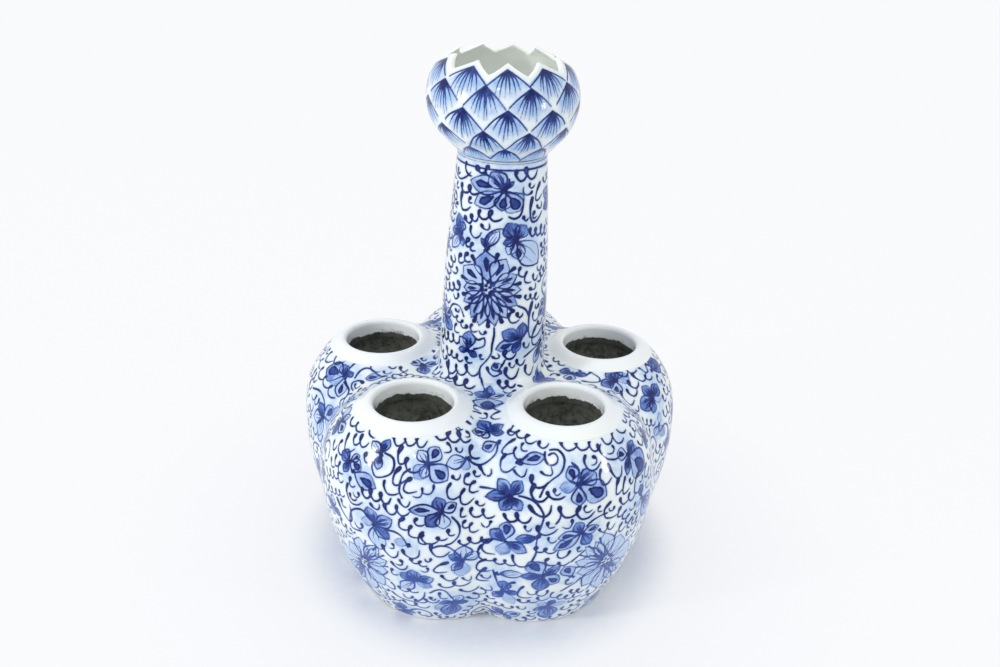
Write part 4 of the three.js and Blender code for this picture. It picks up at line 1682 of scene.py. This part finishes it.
@dataclass
class BulbShell:
    """One bulb's shell: the painted outside, its two luted sides, its foot and its bare inside."""

    surface: BodySurface
    segments: int = 650
    sectors: int = 25
    skin_rows: int = 236
    cavity_rows: int = 14
    wall: float = 4.5
    floor_height: float = 5.5
    throat_radius: float = 19.1
    ring_seat: float = 97.0
    ledge: float = 14.0
    inner_cut: float = 24.0
    inner_cavity_cut: float = 27.3
    foot_recess: float = 0.6
    half_angle: float = math.radians(36.0)
    sharp: float = 0.6
    skin_start: float = 0.5
    skin_stop: float = 0.11

    def slide(self, bm: BMesh, throat: bool) -> None:
        """Move the turned rows outwards by the outline's offset, and the throat's by the mouth's.

        Args:
            bm: The turned body.
            throat: Whether the whole body is the throat.
        """
        points = np.array([vert.co for vert in bm.verts])
        moves = self.surface.bulbs.at(points[:, 2])[1]
        high = (np.hypot(points[:, 0], points[:, 1]) < self.throat_radius + 0.1) & (points[:, 2] > self.ring_seat / 2)
        seated = points[:, 2] < self.ring_seat + 0.1
        moves[high | (throat & seated)] = self.surface.bulbs.mouth_offset
        for vert, move in zip(bm.verts, moves):
            vert.co.x += move

    def cut(self, bm: BMesh, inset: float, inner: float, material: int) -> None:
        """Cut the bulb's slice out of a turned body and close the cuts.

        Args:
            bm: The body.
            inset: How far the two sides are set back.
            inner: Where the side towards the axis is cut, along X.
            material: The material of the new walls.
        """
        s, c = math.sin(self.half_angle), math.cos(self.half_angle)
        tip = inset / s
        planes = [((tip, 0, 0), (-s, c, 0)), ((tip, 0, 0), (-s, -c, 0)), ((inner, 0, 0), (-1, 0, 0))]
        for place, outwards in planes:
            geom = bm.verts[:] + bm.edges[:] + bm.faces[:]
            plane = {"plane_co": place, "plane_no": outwards, "clear_outer": True}
            cut = bmesh.ops.bisect_plane(bm, geom=geom, dist=1e-5, **plane)
            edges = [item for item in cut["geom_cut"] if isinstance(item, bmesh.types.BMEdge) and item.is_boundary]
            known = set(bm.faces)
            bmesh.ops.holes_fill(bm, edges=edges, sides=0)
            for face in set(bm.faces) - known:
                face.material_index = material

    def skin(self) -> Array:
        """Return the skin's profile, from the foot up to just under the mouth ring's edge."""
        outline = self.surface.bulbs
        return outline.wall(self.skin_start, outline.top_height - self.skin_stop, 0.0, self.skin_rows)

    def outside(self) -> BMesh:
        """Return the painted skin and the foot, cut to the bulb's slice."""
        heel = self.surface.bulbs.at(np.array([self.skin_start]))[0][0]
        foot = [(0.0, self.foot_recess), (heel - 6.5, self.foot_recess), (heel - 4.5, 0.0), (heel - 0.7, 0.0)]
        bm = turned(np.vstack([foot, self.skin()]), self.segments, self.sectors)
        for face in bm.faces:
            heights = [vert.co.z for vert in face.verts]
            face.material_index = 0 if min(heights) >= 0.45 and max(heights) > self.foot_recess + 0.01 else 2
        self.slide(bm, False)
        self.cut(bm, 0.0, self.inner_cut, 2)
        return bm

    def throat(self) -> BMesh:
        """Return the seat of the mouth ring and the throat below it."""
        edge = self.skin()[-1]
        low = self.ring_seat - self.ledge
        profile = [edge, (edge[0], self.ring_seat), (self.throat_radius, self.ring_seat), (self.throat_radius, low)]
        bm = turned(np.array(profile), self.segments, self.sectors)
        for face in bm.faces:
            face.material_index = 1
        self.slide(bm, True)
        return bm

    def cavity(self) -> BMesh:
        """Return the hollow, cut to leave walls against the neighbours and the well."""
        top = self.ring_seat - self.ledge
        wall = self.surface.bulbs.wall(self.floor_height, top, self.wall, self.cavity_rows)[::-1]
        profile = np.vstack([[(self.throat_radius, top)], wall, [(0.0, self.floor_height)]])
        bm = turned(profile, self.segments, self.sectors)
        self.slide(bm, False)
        self.cut(bm, self.wall + 0.15, self.inner_cavity_cut, 1)
        for face in bm.faces:
            face.material_index = 1
        return bm

    def build(self) -> Mesh:
        """Build the shell in the frame of a bulb whose middle plane is y = 0, in millimetres."""
        whole = bmesh.new()
        for part in (self.outside(), self.throat(), self.cavity()):
            mesh = made_mesh(part, "part")
            whole.from_mesh(mesh)
            bpy.data.meshes.remove(mesh)
        bmesh.ops.remove_doubles(whole, verts=whole.verts, dist=0.002)
        bmesh.ops.recalc_face_normals(whole, faces=whole.faces)
        shade(whole, self.sharp)
        open_edges = sum(1 for edge in whole.edges if edge.is_boundary)
        log.info("bulb shell: %d points, %d open edges", len(whole.verts), open_edges)
        mesh = made_mesh(whole, "bulb_shell")
        self.soften(mesh)
        return mesh

    def soften(self, mesh: Mesh) -> None:
        """Round the skin into its neighbours and the column's foot."""
        points = coordinates(mesh)
        skin = painted_points(mesh)
        skin = skin[points[skin, 2] > 0.6]
        chosen = skin[self.surface.distance(points[skin]) < -0.004]
        placed = self.surface.settle(points[chosen], 0.0, 4)
        depth = smooth_share(self.surface.column_distance(points[chosen]), -3.0, 0.0)[:, None]
        settled = points[chosen] * (1 - depth) + placed * depth
        settled[:, 2] = np.maximum(settled[:, 2], np.minimum(points[chosen, 2], 0.8))
        points[chosen] = settled
        move_points(mesh, points)


@dataclass
class MouthRing:
    """A thick white ring with a soft lip, seated in the top of a bulb."""

    outline: BulbOutline
    bore_radius: float = 17.9
    seat_height: float = 97.0
    crown_drop: float = 2.2
    segments: int = 240
    sectors: int = 24

    def build(self) -> Mesh:
        """Build the ring in the frame of a bulb whose middle plane is y = 0, in millimetres."""
        lip = self.outline.lip(16)
        crown = lip[0]
        turn = np.linspace(0.0, math.pi / 2, 9)
        radii = crown[0] - (crown[0] - self.bore_radius) * np.sin(turn)
        inner = rows_of(radii, crown[1] - self.crown_drop * (1 - np.cos(turn)))
        bore = np.linspace(inner[-1], (self.bore_radius, self.seat_height), 8)
        lip[:, 1] += 0.02 * smooth_share(lip[:, 0], self.outline.crown_radius, lip[-1, 0])
        edge = lip[-1]
        outside = [(edge[0] - 0.7, self.seat_height), (edge[0] - 0.35, edge[1] - 0.3)]
        profile = np.vstack([outside, lip[::-1], inner[1:], bore[1:]])
        bm = turned(np.vstack([profile, profile[:1]]), self.segments, self.sectors)
        bmesh.ops.recalc_face_normals(bm, faces=bm.faces)
        bmesh.ops.translate(bm, verts=bm.verts, vec=(self.outline.mouth_offset, 0, 0))
        shade(bm, 0.7)
        return made_mesh(bm, "mouth_ring")


@dataclass
class ColumnTube:
    """The leaning column, flared softly into the bulbs."""

    surface: BodySurface
    wall: float = 4.5
    foot_height: float = 97.0
    foot_bore: float = 18.0
    skirt_radius: float = 32.4
    skirt_height: float = 101.5
    skirt_top: float = 116.0
    segments: int = 288
    sectors: int = 24
    skin_rows: int = 206
    underside: tuple[Pair, ...] = ((28.0, 95.5), (30.6, 95.5), (31.8, 97.0))

    def build(self) -> Mesh:
        """Build the column in the vase's own frame, in millimetres."""
        outline = self.surface.column
        turn = np.linspace(0.0, math.pi / 2, 24)
        top_radius = outline.radius(np.array([self.skirt_top]))[0]
        skirt = np.stack([
            self.skirt_radius - (self.skirt_radius - top_radius) * np.sin(turn),
            self.skirt_top - (self.skirt_top - self.skirt_height) * np.cos(turn),
        ], axis=1)
        heights = np.linspace(self.skirt_top, outline.top_height - 0.5, 300)
        shaft = rows_of(outline.radius(heights), heights)
        skin = evenly(np.vstack([skirt, shaft[1:]]), self.skin_rows)
        top = outline.radius(np.array([outline.top_height]))[0]
        rounding = [(top - 0.15, outline.top_height - 0.15), (top - 0.5, outline.top_height)]
        heights = np.linspace(outline.top_height, self.foot_height, 24)
        share = smooth_share(heights, self.foot_height, outline.shoulder_height)
        radii = self.foot_bore + (outline.radius(heights) - self.wall - self.foot_bore) * share
        bore = rows_of(radii, heights)
        profile = np.vstack([skin, rounding, bore, self.underside, skin[:1]])
        bm = turned(profile, self.segments, self.sectors)
        bmesh.ops.recalc_face_normals(bm, faces=bm.faces)
        for face in bm.faces:
            centre = face.calc_center_median()
            beyond = centre.xy.length - outline.radius(np.array([centre.z]))[0]
            outer = (beyond > -1.0 and centre.z > 98.5) or centre.xy.length > 31.0
            face.material_index = 0 if outer else 1
        shade(bm, 0.7)
        mesh = made_mesh(bm, "column_tube")
        self.soften(mesh)
        return mesh

    def soften(self, mesh: Mesh) -> None:
        """Spread the skirt over the bulbs and lean the whole tube."""
        points = coordinates(mesh)
        skin = painted_points(mesh)
        low = skin[(points[skin, 2] < self.skirt_top + 2.0) & (points[skin, 2] > self.skirt_height - 1.0)]
        angle = np.arctan2(points[low, 1], points[low, 0])
        lobe, first = self.surface.lobe_angle, self.surface.first_angle
        turns = np.round((angle - first) / lobe) * lobe + first
        for turn in np.unique(np.round(turns, 6)):
            own = low[np.abs(turns - turn) < 1e-5]
            c, s = math.cos(turn), math.sin(turn)
            back = np.array([[c, -s, 0.0], [s, c, 0.0], [0.0, 0.0, 1.0]])
            points[own] = self.surface.settle(points[own] @ back, 0.02, 5) @ back.T
        move_points(mesh, self.surface.column.leaned(points))


@dataclass
class LotusBud:
    """The cup at the top: a swelling body with ten teeth cut by hand."""

    column: ColumnOutline
    foot_height: float = 208.3
    wall_at_foot: float = 4.0
    wall_at_lip: float = 2.6
    tooth_depth: float = 5.3
    tip_cut: float = 0.9
    lip_round: float = 0.45
    shift: float = -1.0
    shift_heights: Pair = (208.0, 224.0)
    tooth_angles: tuple[float, ...] = (-71, -30, 3, 38, 77, 105, 142, 172, 208, 247)
    outline: tuple[Pair, ...] = (
        (19.9, 0), (24.7, 5), (30, 11), (32.7, 18), (33.4, 24), (32.5, 30), (30.4, 35), (27.6, 38.4), (22.4, 42.6),
    )
    segments: int = 420
    sectors: int = 20
    skin_rows: int = 104
    inner_rows: int = 36
    fine_rows: int = 400

    def outer(self, count: int) -> Array:
        """Return the outside profile as [radius, height], evenly spaced up to the tips."""
        curve = through([(radius, self.foot_height + up) for radius, up in self.outline], 40)
        return evenly(curve, count)

    def inner(self, count: int) -> Array:
        """Return the inside profile as [radius, height], from the foot up."""
        curve = self.outer(200)
        share = np.linspace(0.0, 1.0, len(curve))
        curve[:, 0] -= self.wall_at_foot + (self.wall_at_lip - self.wall_at_foot) * share
        return evenly(curve, count)

    def lip_share(self, angles: Array) -> Array:
        """Work out how much of the profile stands at each angle.

        Args:
            angles: Angles from +X, in radians.

        Returns:
            Heights of the cut lip, as a share of the way from foot to tip.
        """
        first = self.tooth_angles[0]
        degrees = (np.degrees(angles) + 90.0 - first) % 360.0 + first
        tips = np.array([*self.tooth_angles, first + 360.0])
        notches = (tips[:-1] + tips[1:]) / 2
        known = np.sort(np.concatenate([tips, notches]))
        cut = np.where(np.isin(known, tips), self.tip_cut, self.tooth_depth)
        drop = np.interp(degrees, known, cut)
        curve = self.outer(self.fine_rows)
        heights = curve[-1, 1] - drop
        return np.interp(heights, curve[:, 1], np.linspace(0.0, 1.0, len(curve)))

    def build(self) -> Mesh:
        """Build the bud in the vase's own frame, in millimetres."""
        outer, inner = self.outer(self.skin_rows), self.inner(self.inner_rows)
        middle = (outer[-1] + inner[-1]) / 2
        turn = np.linspace(0.0, math.pi, 7)[1:-1]
        half = (outer[-1] - inner[-1]) / 2
        rounded = middle + np.cos(turn)[:, None] * half + np.sin(turn)[:, None] * np.array([0.0, self.lip_round])
        profile = np.vstack([outer, rounded, inner[::-1], outer[:1]])
        bm = turned(profile, self.segments, self.sectors)
        bmesh.ops.recalc_face_normals(bm, faces=bm.faces)
        for face in bm.faces:
            face.smooth = True
        mesh = made_mesh(bm, "lotus_bud_cup")
        points = coordinates(mesh)
        flat = rows_of(np.hypot(points[:, 0], points[:, 1]), points[:, 2])
        gaps = ((flat[:, None, :] - profile[None]) ** 2).sum(2)
        row = np.argmin(gaps, axis=1)
        angle = np.arctan2(points[:, 1], points[:, 0])
        stand = self.lip_share(angle)
        share_of_row = np.concatenate([
            np.linspace(0, 1, len(outer)), np.ones(len(rounded)), np.linspace(1, 0, len(inner)), [0.0],
        ])
        tall_outer, tall_inner = self.outer(self.fine_rows), self.inner(self.fine_rows)
        grid = np.linspace(0, 1, self.fine_rows)
        wanted = share_of_row[row] * stand
        placed = np.empty_like(flat)
        is_outer = (row < len(outer)) | (row == len(profile) - 1)
        is_inner = (row >= len(outer) + len(rounded)) & (row < len(profile) - 1)
        for chosen, curve in ((is_outer, tall_outer), (is_inner, tall_inner)):
            for k in range(2):
                placed[chosen, k] = np.interp(wanted[chosen], grid, curve[:, k])
        is_lip = ~(is_outer | is_inner)
        ends = [np.interp(stand[is_lip], grid, curve[:, k]) for curve in (tall_outer, tall_inner) for k in range(2)]
        centre = rows_of((ends[0] + ends[2]) / 2, (ends[1] + ends[3]) / 2)
        spread = rows_of((ends[0] - ends[2]) / 2, (ends[1] - ends[3]) / 2)
        lip_turn = turn[row[is_lip] - len(outer)][:, None]
        placed[is_lip] = centre + np.cos(lip_turn) * spread + np.sin(lip_turn) * np.array([[0.0, self.lip_round]])
        points = rows_of(placed[:, 0] * np.cos(angle), placed[:, 0] * np.sin(angle), placed[:, 1])
        move_points(mesh, self.stood(points))
        self.mark_inside(mesh, is_outer)
        return mesh

    def stood(self, points: Array) -> Array:
        """Return the points of an upright bud, leaned with the column and a little off its middle."""
        moved = points.copy()
        moved[:, 0] += self.shift * smooth_share(points[:, 2], *self.shift_heights)
        return self.column.leaned(moved)

    @staticmethod
    def mark_inside(mesh: Mesh, outside: Array) -> None:
        """Give the faces that don't lie outside the second material."""
        corners, owner = face_corners(mesh)
        within = np.zeros(len(mesh.polygons), np.int32)
        np.add.at(within, owner, (~outside[corners]).astype(np.int32))
        mesh.polygons.foreach_set("material_index", (within > 0).astype(np.int32))

    def spot(self, angle: float, height: float) -> Spot:
        """Return the place on the bud's outside at an angle from the front, in degrees, and a height."""
        curve = self.outer(self.fine_rows)
        radius = np.interp(height, curve[:, 1], curve[:, 0])
        above, below = (np.interp(height + step, curve[:, 1], curve[:, 0]) for step in (0.3, -0.3))
        slope = (above - below) / 0.6
        turn = math.radians(angle - 90.0)
        out = np.array([math.cos(turn), math.sin(turn), 0.0])
        ends = self.stood(np.stack([out * radius, out * radius + out + [0, 0, -slope]]) + [0.0, 0.0, height])
        return Spot.upright(ends[0], ends[1] - ends[0], UP)


@dataclass
class Vase:
    """The whole vase: builds the pieces, paints them and gives them their finishes."""

    view: Viewpoint
    names: tuple[str, ...] = ("front_left", "front_right", "right", "back", "left")
    collar_heights: Pair = (94.0, 108.0)

    def __post_init__(self) -> None:
        """Share one set of outlines among the pieces."""
        self.surface = BodySurface(BulbOutline(), ColumnOutline())
        self.bud = LotusBud(self.surface.column)
        self.tube = ColumnTube(self.surface)
        self.canvas = Canvas(self.view)

    def build(self) -> None:
        """Build, paint and dress every piece."""
        painted = PaintedGlaze().build("painted_glaze")
        white = ClearGlaze().build("white_glaze")
        ring_glaze = RingGlaze().build("ring_glaze")
        bare = BareClay(colour(214, 206, 192), colour(190, 180, 164), colour(96, 84, 70), 0.3).build("bare_foot")
        # painted light: the inside of the cup is glazed whiter than the outside, to make up for the shade inside it
        bud_inside = ClearGlaze(colour(245, 250, 244), colour(249, 252, 246)).build("bud_inside_glaze")
        shell, ring = BulbShell(self.surface).build(), MouthRing(self.surface.bulbs).build()
        for i, name in enumerate(self.names):
            turn = Matrix.Rotation(self.surface.bulb_angle(i), 4, "Z")
            mesh = self.placed(shell, turn, [painted, ring_glaze, bare])
            self.canvas.add(mesh)
            finish_piece(mesh, f"bulb_shell_{name}", [f"bulb_upper_{name}", f"bulb_lower_{name}"])
            collar = self.placed(ring, turn, [ring_glaze])
            finish_piece(collar, f"mouth_rim_{name}", [f"mouth_ring_{name}"])
        column = self.placed(self.tube.build(), Matrix.Identity(4), [painted, white])
        self.canvas.add(column)
        finish_piece(column, "column_tube", ["column"])
        cup = self.placed(self.bud.build(), Matrix.Identity(4), [painted, bud_inside])
        self.canvas.add(cup)
        finish_piece(cup, "lotus_bud_cup", ["lotus_bud"])
        for node in ("well_tube", "well_floor"):
            self.dress(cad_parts[node], bare)
        self.paint()

    def paint(self) -> None:
        """Lay the brushwork and store it in the meshes."""
        canvas = self.canvas
        canvas.seal()
        self.mark_blank()
        self.paint_lines()
        ScalePainting(canvas, self.bud.tooth_angles, self.bud.spot).paint()
        canvas.blank |= canvas.points[:, 2] > self.surface.column.top_height - 5.0
        PaintedGarden(canvas).paint()
        self.mark_blank()
        canvas.store()

    def mark_blank(self) -> None:
        """Keep the brush off the mouths' white collars and the lowest 0.7 mm of the foot."""
        canvas = self.canvas
        low, high = self.collar_heights
        level = (canvas.points[:, 2] > low) & (canvas.points[:, 2] < high)
        blank = np.zeros(len(canvas.points), bool)
        for i in range(len(self.names)):
            angle = self.surface.bulb_angle(i)
            centre = self.surface.bulbs.mouth_offset * np.array([math.cos(angle), math.sin(angle)])
            away = np.linalg.norm(canvas.points[:, :2] - centre, axis=1)
            blank |= (away < self.surface.bulbs.mouth_edge + 0.9) & level
        blank |= canvas.points[:, 2] < 0.7
        canvas.blank = blank

    def paint_lines(self) -> None:
        """Paint the two lines round the top of the column."""
        canvas = self.canvas
        turn = np.linspace(0.0, 2 * math.pi, 160)
        for height, width, depth in ((208.8, 0.36, 0.8), (207.4, 0.2, 0.5), (204.9, 0.55, 0.95)):
            radius = self.surface.column.radius(np.array([height]))[0] + (0.25 if height > 208 else 0.0)
            ring = rows_of(radius * np.cos(turn), radius * np.sin(turn), np.full(len(turn), height))
            canvas.vine(self.surface.column.leaned(ring), width, depth)

    @staticmethod
    def placed(mesh: Mesh, turn: Matrix, finishes: list[bpy.types.Material]) -> Mesh:
        """Return a copy of a mesh, turned, in metres, with its finishes."""
        copy = mesh.copy()
        copy.transform(Matrix.Scale(METRES, 4) @ turn)
        for finish in finishes:
            copy.materials.append(finish)
        copy.update()
        return copy

    @staticmethod
    def dress(node: bpy.types.Object, finish: bpy.types.Material) -> None:
        """Give a CAD node a finish."""
        node.data.materials.clear()
        node.data.materials.append(finish)
        log.info("%s: dressed in %s", node.name, finish.name)


# Studio


@dataclass
class Studio:
    """A plain pale floor, a white surround and soft lamps."""

    floor_size: float = 12.0
    world_strength: float = 0.66
    paper: tuple = colour(238, 239, 241)
    backdrop: tuple = colour(250, 251, 253)

    def build(self) -> None:
        """Build the floor, the world and the lamps."""
        self.floor()
        self.world()
        self.sun("ceiling", 0.6, 70.0, (0.0, 0.12, 1.0))
        self.sun("fill", 0.28, 60.0, (-0.25, -1.0, 0.55))
        self.softbox("softbox_left", 0.3, (-0.75, -0.43, 0.41), (0.075, 0.18))
        self.softbox("softbox_right", 0.12, (0.41, -0.24, 0.23), (0.045, 0.07))
        self.softbox("lamp_front", 0.04, (-0.27, -2.4, 2.1), (0.22, 0.22))

    def floor(self) -> None:
        """Lay the pale floor."""
        bm = bmesh.new()
        bmesh.ops.create_grid(bm, x_segments=8, y_segments=8, size=self.floor_size / 2)
        mesh = made_mesh(bm, "floor")
        bench = Bench.of_material("floor_paper")
        grain = bench.noise(240.0, 2.0)
        tint = bench.mix(grain.ramp(0.3, 0.7), self.paper, colour(234, 237, 241))
        dull = {"Base Color": tint, "Roughness": 0.9, "Specular IOR Level": 0.1}
        paper = bench.add("ShaderNodeBsdfPrincipled", {}, dull)
        away = bench.add("ShaderNodeVectorMath", {"operation": "LENGTH"}, {0: bench.place()}, output="Value")
        fade = away.ramp(0.078, 0.104, 0.0, 0.68) + away.ramp(0.09, 0.22, 0.0, 0.28)
        glow = bench.add("ShaderNodeEmission", {}, {"Color": self.backdrop, "Strength": 1.0})
        share = bench.looked_at() * fade
        mesh.materials.append(bench.show(bench.add("ShaderNodeMixShader", {}, {0: share, 1: paper, 2: glow})))
        floor = linked("floor", mesh)

    def world(self) -> None:
        """Light the scene from all round, and show white to the camera and in reflections."""
        bench = Bench(bpy.data.worlds.new("surround"))
        strengths = {"Value": bench.looked_at(), "To Min": self.world_strength, "To Max": 1.0}
        strength = bench.add("ShaderNodeMapRange", {}, strengths)
        light = bench.add("ShaderNodeBackground", {}, {"Color": self.backdrop, "Strength": strength})
        bpy.context.scene.world = bench.show(light, "ShaderNodeOutputWorld")

    @staticmethod
    def hang(data: bpy.types.Light, towards: Vector) -> bpy.types.Object:
        """Return a new lamp of this light, turned to shine from this direction."""
        lamp = linked(data.name, data)
        lamp.rotation_mode = "QUATERNION"
        lamp.rotation_quaternion = towards.to_track_quat("Z", "Y")
        return lamp

    def softbox(self, name: str, share: float, place: tuple[float, float, float], size: Pair) -> None:
        """Stand a softbox where it shows as a highlight on the glaze.

        Args:
            name: Its name.
            share: How bright it makes a white surface that faces it beside the column.
            place: Where it stands, in metres.
            size: Its width and height, in metres.
        """
        towards = Vector(place) - Vector((0.0, 0.0, 0.15))
        data = bpy.data.lights.new(name, "AREA")
        data.shape = "RECTANGLE"
        data.size, data.size_y = size
        data.energy = share * (math.pi * towards.length) ** 2
        self.hang(data, towards).location = place

    def sun(self, name: str, strength: float, angle: float, towards: tuple[float, float, float]) -> None:
        """Hang a soft lamp far away.

        Args:
            name: Its name.
            strength: Its strength.
            angle: How wide it looks, in degrees.
            towards: Direction from the vase to the lamp.
        """
        data = bpy.data.lights.new(name, "SUN")
        data.energy = strength
        data.angle = math.radians(angle)
        self.hang(data, Vector(towards))


def main() -> None:
    """Build the camera, the studio and the vase, with logging on."""
    logging.basicConfig(level=logging.INFO, format="%(name)s %(message)s")
    bpy.context.scene.view_settings.view_transform = "Standard"
    view = Viewpoint()
    view.build()
    Studio().build()
    Vase(view).build()


if __name__ == "__main__":
    main()
